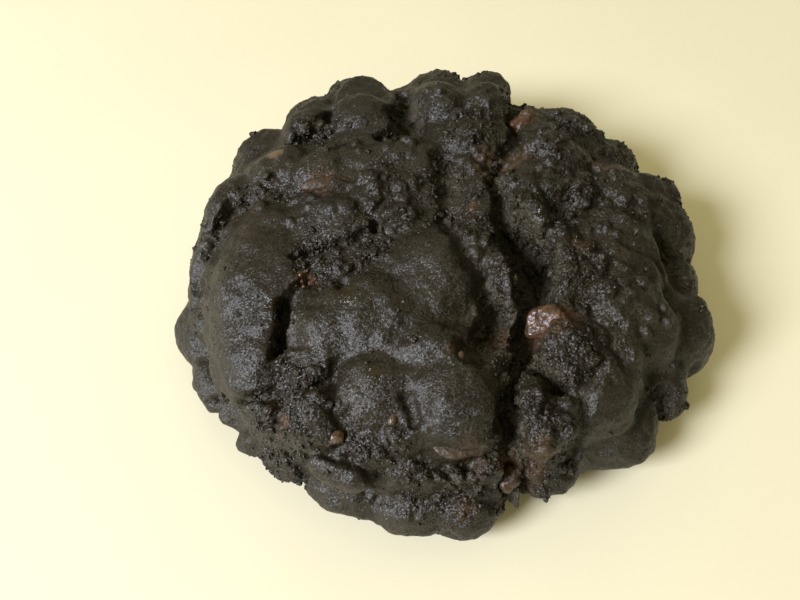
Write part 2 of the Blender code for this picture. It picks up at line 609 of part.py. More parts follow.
def add_seeds(dough, tree):
    """Fuse the seeds to the skin with one union."""
    loose = bpy.data.collections.new("seeds")
    bpy.context.scene.collection.children.link(loose)
    for k, (x, y, along, across, angle) in enumerate(SEEDS):
        bm = bmesh.new()
        matrix = (Matrix.Translation(Vector((x, y, skin_height(tree, x, y))) * MM)
                  @ Matrix.Rotation(math.radians(angle), 4, "Z")
                  @ Matrix.Diagonal((along * MM, across * MM, across * MM, 1.0)))
        bmesh.ops.create_icosphere(bm, subdivisions=2, radius=1.0, matrix=matrix)
        mesh = bpy.data.meshes.new(f"seed_{k}")
        bm.to_mesh(mesh)
        bm.free()
        loose.objects.link(bpy.data.objects.new(mesh.name, mesh))
    union = dough.modifiers.new("Seeds", "BOOLEAN")
    union.operation = "UNION"
    union.operand_type = "COLLECTION"
    union.collection = loose
    union.solver = "MANIFOLD"
    settle(dough)
    for seed in list(loose.objects):
        bpy.data.objects.remove(seed, do_unlink=True)
    bpy.data.collections.remove(loose)


def chunk_mesh(name, sizes, seed):
    """A broken piece: a rounded block with uneven sides."""
    bm = bmesh.new()
    bmesh.ops.create_icosphere(bm, subdivisions=3, radius=1.0)
    mesh = bpy.data.meshes.new(name)
    bm.to_mesh(mesh)
    bm.free()
    points = points_of(mesh) * MM
    block = np.sign(points) * np.abs(points) ** CHUNK_BLOCKINESS
    size, amount = CHUNK_GRAIN
    uneven = 1.0 + amount * noise(points, size, seed)
    move_points(mesh, block * uneven[:, None] * np.array(sizes))
    return mesh


def make_chunks(dough, tree, surfaces):
    """Set each piece in a pocket of its own in the dough."""
    for k, (name, x, y, sink, *rest) in enumerate(CHUNKS):
        sizes = rest[:3]
        turn, sideways, forwards = (math.radians(angle) for angle in rest[3:])
        mesh = chunk_mesh(name, sizes, SEED + 60 + k)
        place = (Matrix.Translation(Vector((x, y, skin_height(tree, x, y) - sink)) * MM)
                 @ Matrix.Rotation(turn, 4, "Z") @ Matrix.Rotation(sideways, 4, "Y")
                 @ Matrix.Rotation(forwards, 4, "X"))
        chunk = add_object(name, mesh, surfaces[name.split("_")[0]])
        chunk.matrix_world = place
        pocket = add_object(f"pocket_{name}", mesh.copy())
        pocket.matrix_world = place
        points = points_of(pocket.data)
        move_points(pocket.data, points + GAP * normals_of(pocket.data))
        pocket.hide_render = True
        pocket.display_type = "WIRE"
        cut = dough.modifiers.new(f"Pocket of {name}", "BOOLEAN")
        cut.operation = "DIFFERENCE"
        cut.object = pocket
        cut.solver = "MANIFOLD"


def main():
    clear_scene()
    dough = make_dough()
    tree = BVHTree.FromObject(dough, bpy.context.evaluated_depsgraph_get())
    add_seeds(dough, tree)
    surfaces = {
        "chip": material("chocolate_chip", CHIP_COLOUR, 0.35),
        "raspberry": material("raspberry_piece", RASPBERRY_COLOUR, 0.25),
    }
    make_chunks(dough, tree, surfaces)
    dough.data.materials.clear()
    dough.data.materials.append(material("dark_dough", DOUGH_COLOUR, 0.55))
    for thing in bpy.data.objects:
        thing.data.shade_smooth()
        thing.location += Vector((*CENTRING, 0.0)) * MM


main()
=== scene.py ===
"""The looks of a thick chocolate raspberry cookie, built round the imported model."""

import math

import bmesh
import bpy
import numpy as np
from mathutils import Matrix, Quaternion, Vector
from mathutils.bvhtree import BVHTree


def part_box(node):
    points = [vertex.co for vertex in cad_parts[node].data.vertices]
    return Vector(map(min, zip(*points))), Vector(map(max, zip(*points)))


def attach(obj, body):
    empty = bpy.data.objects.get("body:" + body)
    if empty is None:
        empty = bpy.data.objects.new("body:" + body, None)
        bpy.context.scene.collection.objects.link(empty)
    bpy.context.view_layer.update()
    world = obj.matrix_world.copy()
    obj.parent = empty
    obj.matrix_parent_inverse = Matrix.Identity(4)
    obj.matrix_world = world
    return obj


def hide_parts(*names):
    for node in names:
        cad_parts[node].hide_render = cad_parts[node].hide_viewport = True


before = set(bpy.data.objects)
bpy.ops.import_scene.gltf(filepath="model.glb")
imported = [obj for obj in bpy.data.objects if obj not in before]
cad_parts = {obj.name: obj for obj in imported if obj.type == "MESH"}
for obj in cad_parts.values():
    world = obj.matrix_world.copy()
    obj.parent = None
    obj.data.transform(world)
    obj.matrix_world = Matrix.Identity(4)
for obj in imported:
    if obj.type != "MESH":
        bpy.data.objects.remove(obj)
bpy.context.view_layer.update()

MM = 0.001

# Overall sizes in millimetres, with the origin under the middle of the base
HALF_LENGTH = 48.5
HALF_WIDTH = 48.5
HEIGHT = 29.5
RIM_HEIGHT = 12.0
DOME_POWER = 2.6
BASE_INSET = 0.90
BASE_CUT = 3.0

# Moves the middle of the finished cookie's box over the origin
CENTRING = (-1.06, 0.42)

# The dough between the lumps lies this far under their common dome
CORE_DROP = 1.7

# Flattens the lumps of the top, whose sizes are given as if round
LUMP_FLATNESS = 0.75

# Lumps of dough on the top, from the left over the front to the right and the back:
# place of the crown, rise over the dome, half sizes along, across and through the
# lump, and its turn in degrees
LUMPS = (
    (-31, -10, 1.5, 10.6, 20, 11.5, -4), (-32, -24.5, 0.8, 7.5, 8.5, 10, 0),
    (-38.5, 11, 0.4, 7, 10.5, 10, -20), (-20, 0.5, 0, 11.5, 8.5, 8, 12),
    (-27.5, 1, 0.9, 2.6, 3.6, 4, 0), (-28.5, 17, 0.8, 7, 8.5, 9, -35),
    (-20, 13.5, 0.7, 7, 4.5, 6, 15), (-6, 15, 0.2, 14, 4.8, 6, 2), (-8, 5, -0.3, 10, 7.5, 7, 0),
    (-5.5, -0.5, 0.6, 3.2, 3, 3.5, 0), (-1, -13, 1.2, 11, 12, 10, -12),
    (-11, -19.5, 1, 15, 9, 9, 8), (-19, -22, 1.2, 5.5, 5, 6, 20), (-23.5, -16, 0.3, 5.5, 9.5, 8, 0),
    (-21.5, -27, 0.4, 4.6, 2.6, 4, -12), (-21.5, -30, 0, 3.4, 2.4, 3, 0),
    (-11.8, -33.8, 1.7, 7.2, 7.6, 8, -20), (1.6, -36.8, 2.6, 8.4, 9.6, 9.5, 10),
    (-5, -33, 1.3, 4.6, 5.5, 6.5, 0), (-1, -27.4, 1.3, 8.5, 6, 7.5, 0),
    (-7, -40, 0.6, 4.5, 4, 4, 0), (-21.5, -36.3, 2.3, 7.4, 6, 7.5, 25),
    (-31, -33, 0.4, 3.8, 4.2, 5, 30), (-19.8, -43.8, 2.5, 6.8, 3.8, 5.5, -24),
    (-13.5, -42, 0.6, 3.6, 3.8, 4, 0), (9.5, 8, -0.9, 3, 9, 7, 6), (7.8, -8, -0.6, 2.8, 4.4, 5, 22),
    (11.4, -15.4, -0.9, 2.4, 4.8, 6, 24), (7, -30, 0.2, 3, 3.8, 4, 0),
    (12, -35.5, 0, 3.8, 4.4, 5, 35), (17.8, -0.5, 1.2, 5.4, 7.4, 7.5, 0),
    (26, 12.5, 0.8, 7.6, 5.8, 7, -10), (25, 2.5, 0.6, 5.2, 4.8, 6, 0),
    (24.5, -14, 0.4, 8.6, 8.8, 8, 0), (35, -13, 0.6, 9, 15, 10, -6), (33, -20, 1, 9, 8.5, 8, 0),
    (19, -29.5, 0.9, 7.6, 6.6, 7, -15), (29, -27, 0.6, 5, 8, 7, 10), (38.5, -24, 0.8, 6, 9, 8, 12),
    (26.5, -37, 1.4, 9.5, 7.5, 9, 24), (14.5, -41.5, 0.8, 5.6, 4.6, 6, 10),
    (38, 5, 0.4, 8, 9, 9, 20), (5, 32, 1.2, 7.8, 8.4, 8, 0), (16, 31, 1.3, 6.2, 8.6, 8, -12),
    (9.5, 19.5, 0.4, 7.8, 6.4, 7, 0), (28, 20, -0.8, 8, 5, 7, -28), (34, 27, 0.6, 8, 5.5, 7, -42),
    (-11.5, 30, 1, 8, 6.6, 8, 8), (-23, 30, 1, 6.6, 6.4, 8, 30),
)

# Lumps round the rim: direction in degrees, reach, height of the middle,
# half sizes outwards, along the rim and upwards
RIM_LUMPS = (
    (2, 52.2, 11, 13, 10, 11.5), (11, 52.2, 11.5, 14, 7.5, 11), (26, 51, 11.5, 13, 7.5, 10),
    (43, 46.6, 10.5, 13, 7.5, 9), (67.5, 51.2, 13.5, 14, 7.2, 11.5), (82, 50.4, 13, 14, 10.5, 11),
    (106, 52.8, 13, 14, 9, 11.5), (119, 51.2, 12.5, 14, 9.5, 10.5), (138, 51.2, 11.5, 14, 11, 11),
    (156, 48.6, 11, 13, 11, 10.5), (173, 45.4, 10, 11, 7, 9), (191, 50.8, 6.5, 12, 12, 7),
    (206, 50.6, 6.5, 12, 10, 7), (219, 49.6, 7.5, 12, 10, 7.5), (233, 49, 7, 12, 10.5, 7),
    (247, 49.6, 7, 12, 11.5, 7), (262, 51.2, 7, 13, 12, 7.5), (272, 51.8, 7, 13, 9.5, 7.5),
    (281, 49.2, 6.5, 12, 6.5, 7), (291, 49, 7.5, 12, 9, 7.5), (310, 52.6, 8, 13, 9.5, 8),
    (321, 52.6, 8.5, 13, 10, 8.5), (335, 53.8, 10, 13, 10, 10), (349, 50.9, 11, 13, 10, 10),
)

# Splits and hollows: name, and the places that each runs through with its width
# and depth there
SPLITS = (
    ("main split", (
        (22, 38, 5, 2), (20.8, 29, 3.6, 2.6), (19.4, 21, 3.2, 2.8), (17.6, 15, 4, 2.6),
        (14.8, 10, 5.5, 2.2), (12.8, 5, 4, 2.6), (12.6, 0, 4, 3.6), (13.6, -4, 4.8, 5.6),
        (14.8, -8, 5.6, 7.8), (15.4, -11.5, 5.8, 8.8), (15.8, -15, 5.8, 9.2), (15.6, -19.5, 5.4, 9),
        (14, -23.5, 5.4, 8), (12, -28, 4, 7), (10.4, -33, 2.4, 6), (9.8, -36, 3.4, 7),
        (9.2, -40, 4.2, 6.5), (9, -43, 3.6, 4), (9.2, -46.5, 2.6, 3), (9, -50, 1.6, 2.6))),
    ("main split right", (
        (15.6, -3.5, 3.6, 4.5), (17.2, -6, 4.8, 7.4), (18.6, -11, 5, 9), (18.6, -15, 4.8, 9.2),
        (17, -18.5, 4, 8.6))),
    ("split branch", ((12.5, -27, 3.4, 5), (15, -31, 3.4, 4.6), (18.5, -35.5, 2.6, 3))),
    ("inner valley", (
        (4, 14, 5, 2.2), (4.5, 7, 6.5, 2.8), (4.4, 0, 4.6, 2.4), (4, -6, 2.6, 1.6), (5.8, -11, 3, 1.6),
        (8, -16, 3.8, 2.4), (10, -21.5, 5, 4.4), (8.5, -25.5, 5.4, 4.6), (5, -28.5, 3.8, 2.6))),
    ("top hollow", ((-2, 38, 4, 2.4), (-1.5, 27, 7, 5), (-3, 22, 5, 4), (-8, 20.5, 2.4, 2))),
    ("upper left crevice", ((-16, 31, 1.6, 1.6), (-20, 26.5, 3.6, 3.6), (-25, 22.5, 2, 2))),
    ("left crevice", (
        (-31, 8.5, 2, 1.2), (-36, 7.5, 3.6, 3), (-41, 2, 3, 2.2), (-44, -6, 2.4, 1.4),
        (-44.5, -15, 2, 1))),
    ("left slit", (
        (-21.4, -11.5, 1.2, 1.6), (-23.4, -15.5, 1.4, 2.4), (-25, -18.5, 2, 5), (-26.6, -23, 1.8, 5),
        (-27.8, -25.5, 1, 1.6))),
    ("shelf edge", (
        (-24, -8, 1.2, 1.4), (-17, -5.5, 1.6, 2), (-9.5, -3, 2.4, 2.2), (-4, -2, 1.6, 1.4))),
    ("right hollow", ((42, -4, 3.4, 1.4), (43.2, -8.5, 6.4, 2.6), (44, -13.5, 3.4, 1.4))),
    ("right arc edge", ((33, -9.5, 2, 0.6), (37, -11, 2.8, 1), (39.5, -15, 2.8, 1), (40, -20, 2, 0.6))),
    ("arc crease", (
        (23.5, -19.5, 3, 0.8), (26.5, -21, 3.6, 1.3), (28, -25, 3.8, 1.3), (28.6, -31, 3.4, 0.9),
        (30, -34.5, 3, 0.5))),
    ("back right hollow", ((25, 35, 7, 0.9), (32, 31, 7, 0.4))),
    ("back notch", ((34, 13, 3.4, 0.8), (38, 16, 4.6, 1.2), (42, 19.5, 4.4, 1.2))),
    ("lobe foot", (
        (-42.5, -4, 2.4, 1.6), (-43, -14, 3.6, 2), (-41, -23, 3.6, 2.2), (-36.5, -31, 3.4, 2.4),
        (-31, -30.5, 2.6, 2.6), (-26.5, -31, 2.2, 2.2))),
    ("skirt crease", (
        (-12.5, -45.5, 1.8, 1.2), (-8, -47.5, 2.8, 1), (-3, -46.4, 2.2, 1.3), (5, -46.8, 2.4, 1))),
    ("front left crevice", (
        (-25, -39.5, 1.8, 1), (-20, -40.6, 2, 1.4), (-15, -42, 2.4, 1.6), (-11, -45, 1.8, 1.2))),
    ("arc recess", (
        (-6, -42, 2.2, 0.8), (-2, -44, 3, 2.2), (2.5, -44.4, 3.4, 2.8), (6.2, -42.6, 3, 2.8),
        (8.4, -40, 2.2, 2.2))),
    ("front right hole", ((11.6, -43.8, 2.4, 2), (12.4, -46.5, 3.4, 4), (12.6, -50, 3, 3.4))),
    ("front left step", ((-28, -31, 2.4, 1.8), (-24, -31.6, 2.4, 1.6), (-18.5, -31, 2, 1.6))),
    ("crescent fold", (
        (-25.4, -26, 1.4, 0.8), (-22.6, -26.4, 1.8, 1.5), (-20, -27.4, 1.6, 1.4),
        (-18.6, -29, 1.2, 0.8))),
    ("knuckle crease", ((-17.6, -27, 1.4, 1.2), (-17.2, -32, 1.5, 1.5), (-16.4, -37, 1.2, 0.8))),
    ("boss crease", ((-5.2, -30, 1.4, 0.3), (-5.4, -34, 2.6, 0.7), (-6.2, -39, 2, 1.2))),
    ("right lower crease", ((24, -31, 2, 0.9), (21, -36, 2.8, 1.4), (19, -42, 2.4, 1.2))),
    ("rim crease", ((34, -33, 1.2, 1), (37, -35.5, 1.6, 1.2), (39, -36.5, 1, 0.6))),
)

# Pits beside the knobs, under the shelf, at a seed and the slit, and two in the rim:
# place, half width and depth
PITS = (
    (-9, -2.5, 1.6, 3.4), (-15, -14.5, 1.4, 1.6), (3.5, -29, 2.6, 2.6), (-21.2, -12.6, 1.1, 3),
    (37.5, -34, 2.2, 3), (44.5, -28, 1.4, 1.6),
)

# Rubble of broken dough: place of each patch, its half sizes across and along,
# how many pieces, and their smallest and largest half size
RUBBLE = (
    (9.5, 13, 2.6, 8, 14, 0.9, 1.7), (7.8, -7.5, 2, 4, 10, 0.9, 1.7),
    (11.2, -15, 1.6, 4.6, 12, 0.8, 1.6), (15.5, -8, 2.4, 9, 12, 0.6, 1.1),
    (14, -20, 3.4, 5, 8, 0.6, 1.1), (17.5, 1, 4, 6.5, 10, 1, 2.4), (15.5, 10.5, 3, 3, 9, 0.9, 2),
    (19, -5.5, 3, 4, 8, 1, 2), (21.4, -12, 1.6, 8, 16, 0.9, 1.8), (26, 12, 8, 7.5, 26, 1, 2.6),
    (25, 3.5, 6, 4.5, 16, 1, 2.4), (31.5, 4, 5, 6, 14, 0.8, 1.8), (26, -9, 8, 6, 24, 0.9, 2.2),
    (27, -16.5, 8, 5, 18, 0.9, 2.2), (36, -4, 5, 8, 12, 0.9, 1.8), (33, 20, 7, 5, 14, 0.9, 2.2),
    (24, 24, 5, 5, 9, 0.9, 2), (19, -30, 5.5, 5, 7, 0.9, 1.8), (8, -30.5, 2.6, 4, 8, 0.8, 1.6),
    (14.5, -36, 4.5, 2.6, 10, 0.8, 1.7), (15, -42, 5.5, 3.5, 14, 0.8, 1.7),
    (14, -46.5, 4, 2.5, 7, 0.8, 1.5), (37, -27, 4, 6, 9, 0.9, 2), (8.5, 26, 6, 5, 12, 0.9, 2),
    (-2, 25.5, 6, 6, 10, 0.8, 1.6), (-20, 26, 7, 4, 12, 0.8, 1.8), (-11, 18, 11, 3, 12, 0.9, 2),
    (-10, 6, 9, 5, 16, 0.9, 2.2), (-21, 2, 6, 5, 10, 0.9, 2), (-30, 9, 5, 4, 9, 0.8, 1.6),
    (-13, -8, 8, 3.5, 16, 0.8, 1.6), (-4, -2.5, 4, 3.5, 8, 0.8, 1.8),
    (-21.5, -35.5, 5.5, 4, 10, 0.8, 1.6), (-28, -35.5, 4, 3, 8, 0.8, 1.6),
    (-14, -40.5, 6, 2.5, 12, 0.8, 1.6), (-2, -45.5, 7, 3, 14, 0.8, 1.8),
    (-42, 3, 2.5, 4, 6, 0.8, 1.5),
)

# Rubble stays this close to the middle
RUBBLE_REACH = 45.0

# Raspberry seeds on the skin: place, half length, half width and turn
SEEDS = (
    (-17.4, -39, 1.2, 1.1, 0), (-8.6, -37.6, 1.1, 0.7, 60), (2.4, -29.8, 1.1, 0.6, 80),
)

# Turns the noise off the axes, so that its lattice never lines up with the cookie
NOISE_TURN = np.array(Matrix.Rotation(0.9, 3, (0.3, 0.5, 0.8)))

# Whole numbers that scramble the cells of a lattice, its shift for each seed, and
# what brings smooth noise to about one
SCRAMBLE_STEPS = np.array((374761393, 668265263, 2147483647))
SCRAMBLE_SEED = 144269
SCRAMBLE_MIX = 1274126177
SPOT_STEPS = (48271, 69621, 39373)
NOISE_SHIFT = 17.31
CELL_SHIFT = 11.7
NOISE_GAIN = 1.6

# Size and amount of the sway in the lumps as a whole and in the splits' paths
LUMP_SWAY = (11.0, 1.1)
SPLIT_SWAYS = ((7.0, 1.3), (2.6, 0.6))

# A split runs out at this many times its half width, and reaches its full depth
# over this much of it
SPLIT_EDGE = 1.3
SPLIT_SLOPE = 0.9

# Height above which splits cut straight down, and over how much more they turn
UPRIGHT_CUTS = 18.0
UPRIGHT_BLEND = 6.0

# How fast the cuts turn from level at the rim to upright on top
LEAN = 1.4

# Points of the core's profile and round it, and the step for the dome's slope
CORE_STEPS = 24
CORE_SIDES = 72
BELLY_HEIGHT = 0.35 * RIM_HEIGHT
DOME_STEP = 1.5

# Creases between lumps are filled out to about this width
CREASE_FILL = 1.15

# Random seeds of the whole and of its kinds of unevenness
SEED = 11
SPLIT_SEED = SEED + 20
CRUMB_SEED = SEED + 40
STAIN_SEED = SEED + 70
SPOT_SEED = SEED + 76
DENT_SEED = SEED + 80
PIECE_SEED = SEED + 90

# Grids that the skin of the dough is fused on, first and last, and its triangles
VOXEL = 0.45
FINE_VOXEL = 0.30
DOUGH_TRIANGLES = 194000

# Rubble: how its sizes crowd to the small end, how deep it sinks, how far it is
# stretched and how far its points move in and out
RUBBLE_SKEW = 1.5
RUBBLE_SINK = (0.1, 0.65)
RUBBLE_STRETCH = (0.75, 1.25)
RUBBLE_DENTS = (0.84, 1.12)

# Smooth noise in all skin, in the low back's too, in broken dough, raspberry and
# chocolate: amount, size and seed of each band
SKIN_WAVES = ((0.45, 4.6, 1), (0.24, 2.1, 2), (0.11, 1.1, 3))
BACK_WAVES = ((0.9, 6.0, 8), (0.35, 2.8, 9))
GRANULE_WAVES = ((0.40, 2.4, 5), (0.16, 1.2, 6))
BERRY_WAVES = ((0.42, 2.2, 1), (0.08, 0.6, 2))
CHIP_WAVES = ((0.16, 1.7, 1), (0.07, 0.6, 2))

# Round granules and drupelets: height, spacing, and where their relief is level
GRANULES = (0.36, 1.15, 0.55)
DRUPELETS = (0.38, 1.5, 0.55)
DRUPELET_SWAY = (1.8, 0.5)

# Pits in chocolate: depth, spacing, half width and how they deepen
CHIP_PITS = (0.14, 1.5, 0.45, 1.6)

# The back's waves begin this far down and this far back, and grow over these lengths
BACK_TOP = 21.0
BACK_TOP_BLEND = 8.0
BACK_START = -5.0
BACK_START_BLEND = 20.0

# Grid of the small pieces' skin, and the thickness from which their relief is full
PIECE_VOXEL = 0.15
FULL_RELIEF = 3.0

# The fold along a seed, its half width, and the size and depth of its dents
SEED_FOLD = 0.05
SEED_FOLD_WIDTH = 0.16
SEED_DENTS = (0.45, 0.13)

# How far out a patch has its full strength, and how fast it fades
PATCH_EDGE = (1.6, 1.2)
SMOOTH_EDGE = (2.2, 1.6)
STAIN_EDGE = (1.5, 1.3)
SPOT_EDGE = (2.4, 2.0)

# Size and amount of the sway in the outlines of patches, stains and spots
PATCH_SWAY = (5.0, 1.6)
STAIN_SWAY = (2.2, 0.8)
SPOT_SWAY = (1.2, 0.35)

# How blotchy broken dough and stains are: size, middle and amount
CRUMB_BLOTCHES = (3.0, 0.75, 0.6)
STAIN_BLOTCHES = (1.3, 0.7, 0.9)

# Depths from which a split's walls are broken and carry in full the painted light and
# the added roughness of the splits, and how much a smooth patch takes from a crumbly one
BROKEN_WALL = 2.2
DEEP_WALL = 4.0
SMOOTH_DAMPING = 0.9

# Broken skin that shows granular crumb: place, half width and how rough
CRUMBLY = (
    (-19, -8.5, 6, 1), (-11, -8, 6.5, 0.9), (-4, -3, 5, 0.7), (-9, 3, 6, 0.5), (-6, 9, 5, 0.8),
    (5, 5, 7, 0.9), (7, -5, 5, 0.8), (9, -14, 4.5, 0.9), (9, -30, 5, 1), (12.5, -36, 5.5, 1),
    (14.5, -42, 5.5, 1), (19.5, -29.5, 8, 1), (24, -15, 9, 0.7), (20, -4, 7, 0.7), (25, 3, 6, 0.6),
    (27, 12, 9, 0.5), (35, 2, 9, 0.5), (33, 22, 8, 0.6), (10, 20, 7, 0.8), (17, 28, 6, 0.5),
    (-2, 25, 6, 0.7), (-20, 25, 5, 0.8), (-33, 8, 6, 0.8), (-25, 9, 4, 0.7), (-22, -33, 6, 0.9),
    (-28, -33, 5, 0.8), (-15, -40, 5, 1), (-8, -43, 5, 0.9), (0, -46, 6, 0.7), (7, -44, 5, 1),
    (39, -36, 5, 0.7), (44, -8, 5, 0.7), (47, -14, 7, 0.45), (46, 4, 7, 0.5), (46, 15, 8, 0.75),
    (38, 27, 8, 0.65), (29, 38, 8, 0.8), (12, 47, 8, 0.8), (-18, 44, 8, 0.45), (-37, 33, 8, 0.4),
    (-47, 14, 7, 0.35), (-47, -18, 6, 0.5), (-40, -34, 6, 0.6), (-27, -40.5, 6.5, 0.9),
    (-20.5, -38, 4, 0.8), (-34, -36, 5, 0.7), (-24, -28.5, 4, 0.8), (22, -46, 5, 0.5),
    (-44, 6, 4, 0.6),
)

# Places with a closed, smooth skin
SMOOTH = (
    (-32, -10, 8, 15), (-12, -21.5, 13, 4.5), (0, -13, 8, 7), (-11.5, -34, 5.5, 5.5),
    (0, -35.5, 7, 6.5), (27, -38, 7.5, 6), (37, -17, 6, 8), (-21, -43.5, 6, 3),
    (-10, 15.5, 12, 2.5), (-43, -12, 6, 14), (-38, -28, 6, 6), (-14, -45.5, 5, 2.5),
    (-29, 18, 5, 6), (5, 33, 6, 5),
)

# Crumbly lips between smooth lobes: place, half width and how rough
EDGES = (
    (-22.6, -13.6, 1.6, 0.9), (-24.2, -17, 1.7, 0.9), (-25.4, -20, 1.8, 0.9),
    (-26.6, -23.4, 1.7, 0.8), (-4.6, -26.4, 1.2, 0.8), (-16.6, -29.5, 1.4, 0.8),
    (-9, -12.6, 1.4, 0.6), (6.8, -41.2, 1.8, 0.9), (8, -36.5, 1.6, 0.8),
)

# Moist spots that catch the light: place and half width
WET = (
    (17.6, -0.5, 1.6), (19.4, -4.6, 1.5), (15.8, 3.4, 1), (25.1, -17.3, 1.2), (31.3, -11.2, 1.1),
    (-27, -17, 1.4), (-15, -18, 1.8), (-5.5, -20.5, 1.5), (-11, -31, 1.4),
)

# Loose crumbs and finer grit on the broken dough: how many, their half sizes,
# unevenness and subdivisions
CRUMBS = (2400, 0.28, 0.80, 0.34, 2)
GRIT = (9700, 0.14, 0.36, 0.3, 1)

# Grains: how their sizes crowd to the small end, their stretch, and their lift out
# of the skin in their own radius
GRAIN_SKEW = 2.2
GRAIN_STRETCH = 0.35
GRAIN_LIFT = (-0.85, 0.0)

# How densely closed skin carries grains against broken dough, how sharply they
# crowd there, and from which height over how much more they lie on the skin
BARE_SKIN = 0.008
GRAIN_FOCUS = 2.5
GRAIN_FLOOR = 2.0
GRAIN_FLOOR_BLEND = 8.0

# Grains keep clear of this share of a piece's reach and this much more
CHUNK_SHARE = 0.9
CHUNK_CLEAR = 1.0

# Paler flecks: place and half width
FLECKS = ((-27.6, 17.7, 1.7), (-21.9, -11, 0.7), (-26.3, -32, 0.6))

# A curl of raspberry skin round a hole: place, radius and thickness
CURL = (-21.3, -12.4, 1.15, 0.38)
CURL_STEPS = 16

# The curl's start and sweep in turns, how much longer than wide it is, and its
# width, height and lift in its own thickness
CURL_START = 0.1
CURL_SWEEP = 0.8
CURL_LENGTHENING = 1.25
CURL_ACROSS = 1.2
CURL_UPRIGHT = 1.3
CURL_LIFT = 0.15

# Waves in the curl's radius and in its thickness: amount and number in a turn
CURL_WAVE = (0.22, 3.0)
CURL_SWELL = (0.35, 5.0)

# Juice and caramel that tint the dough: place, half width and strength
STAINS = (
    (-21.4, -12.2, 1.9, 1), (-27.6, 17.7, 1.6, 1), (-18.6, 8.8, 4, 0.5), (20.4, -23.6, 2.8, 0.8),
    (16.8, -24.6, 3.4, 0.8), (10, -24.5, 3.2, 0.6), (17, 11.6, 3.4, 0.6), (12.1, 12.3, 2.4, 0.5),
    (11, 8, 2.2, 0.5), (7.9, -0.5, 1.4, 0.7), (21.5, 25.2, 3, 0.9), (34.7, 11.1, 2.8, 0.7),
    (40.5, 12.6, 2.4, 0.6), (-26.9, -32.9, 1.6, 0.6), (-25.5, -36, 1.5, 0.6), (1.7, -48, 2.2, 0.45),
    (1.2, -28.7, 1.4, 0.5), (9, -43, 2.6, 0.7), (13.2, -43.2, 2, 0.6), (3, -43, 3, 0.25),
    (26, -10, 3, 0.35),
)


def paint(thing, surface):
    thing.data.materials.clear()
    thing.data.materials.append(surface)


def add_object(name, data, surface=None):
    thing = bpy.data.objects.new(name, data)
    bpy.context.scene.collection.objects.link(thing)
    if surface is not None:
        paint(thing, surface)
    return thing


def new_mesh(name, bm):
    """A mesh of shapes that were built in millimetres."""
    bmesh.ops.scale(bm, vec=(MM, MM, MM), verts=bm.verts)
    mesh = bpy.data.meshes.new(name)
    bm.to_mesh(mesh)
    bm.free()
    return mesh


def finish_piece(piece, node):
    """Let a smooth-shaded piece ride on the body and take the place of a node."""
    piece.data.shade_smooth()
    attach(piece, "root")
    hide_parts(node)


def settle(thing):
    """Turn the object's modifiers into its mesh."""
    bpy.context.view_layer.update()
    graph = bpy.context.evaluated_depsgraph_get()
    settled = bpy.data.meshes.new_from_object(thing.evaluated_get(graph))
    thing.modifiers.clear()
    before = thing.data
    thing.data = settled
    bpy.data.meshes.remove(before)


def rows_of(items, name, kind=float, width=3):
    """One property of all items, a row for each."""
    flat = np.empty(len(items) * width, dtype=kind)
    items.foreach_get(name, flat)
    return flat.reshape(-1, width)


def points_of(mesh):
    return rows_of(mesh.vertices, "co") / MM


def normals_of(mesh):
    return rows_of(mesh.vertex_normals, "vector")


def move_points(mesh, points):
    mesh.vertices.foreach_set("co", (points * MM).ravel())
    mesh.update()


def fade(t):
    t = np.clip(t, 0.0, 1.0)
    return t * t * (3.0 - 2.0 * t)


def scramble(cell, seed):
    """A whole number up to 32 bits for each cell of a lattice, as if at random."""
    key = cell @ SCRAMBLE_STEPS + seed * SCRAMBLE_SEED
    key = (key ^ (key >> 13)) * SCRAMBLE_MIX & 0xFFFFFFFF
    return (key ^ (key >> 16)) & 0xFFFFFFFF


def noise(points, size, seed):
    """Smooth noise from about -1 to 1, with bumps of about the given size."""
    place = points @ NOISE_TURN / size + seed * NOISE_SHIFT
    cell = np.floor(place).astype(np.int64)
    part = place - cell
    curve = part ** 3 * (part * (part * 6.0 - 15.0) + 10.0)
    total = np.zeros(len(points))
    for corner in np.ndindex(2, 2, 2):
        key = scramble(cell + corner, seed)
        turn = key / 0xFFFFFFFF * 2.0 * np.pi
        rise = ((key * SPOT_STEPS[0]) & 0xFFFF) / 0x8000 - 1.0
        flat = np.sqrt(1.0 - np.minimum(rise * rise, 1.0))
        away = part - corner
        slope = away[:, 0] * flat * np.cos(turn) + away[:, 1] * flat * np.sin(turn)
        slope += away[:, 2] * rise
        total += np.prod(np.where(corner, curve, 1.0 - curve), axis=1) * slope
    return total * NOISE_GAIN


def dome_height(reach):
    """Height of the smooth dome at a share of the way from its middle to its rim."""
    return RIM_HEIGHT + (HEIGHT - RIM_HEIGHT) * (1.0 - reach ** DOME_POWER) ** (1.0 / DOME_POWER)


def dome(x, y):
    """Height of the smooth dome that the lumps follow."""
    return dome_height(np.minimum(np.hypot(x / HALF_LENGTH, y / HALF_WIDTH), 1.0))


def dome_normal(x, y):
    step = DOME_STEP
    slope_x = (dome(x + step, y) - dome(x - step, y)) / (2.0 * step)
    slope_y = (dome(x, y + step) - dome(x, y - step)) / (2.0 * step)
    return Vector((-slope_x, -slope_y, 1.0)).normalized()


def add_lump(bm, middle, turn, sizes, subdivisions=4):
    """A rounded lump with its half sizes along the columns of a turn."""
    scale = Matrix.Diagonal((*sizes, 1.0))
    matrix = Matrix.Translation(middle) @ turn.to_4x4() @ scale
    bmesh.ops.create_icosphere(bm, subdivisions=subdivisions, radius=1.0, matrix=matrix)


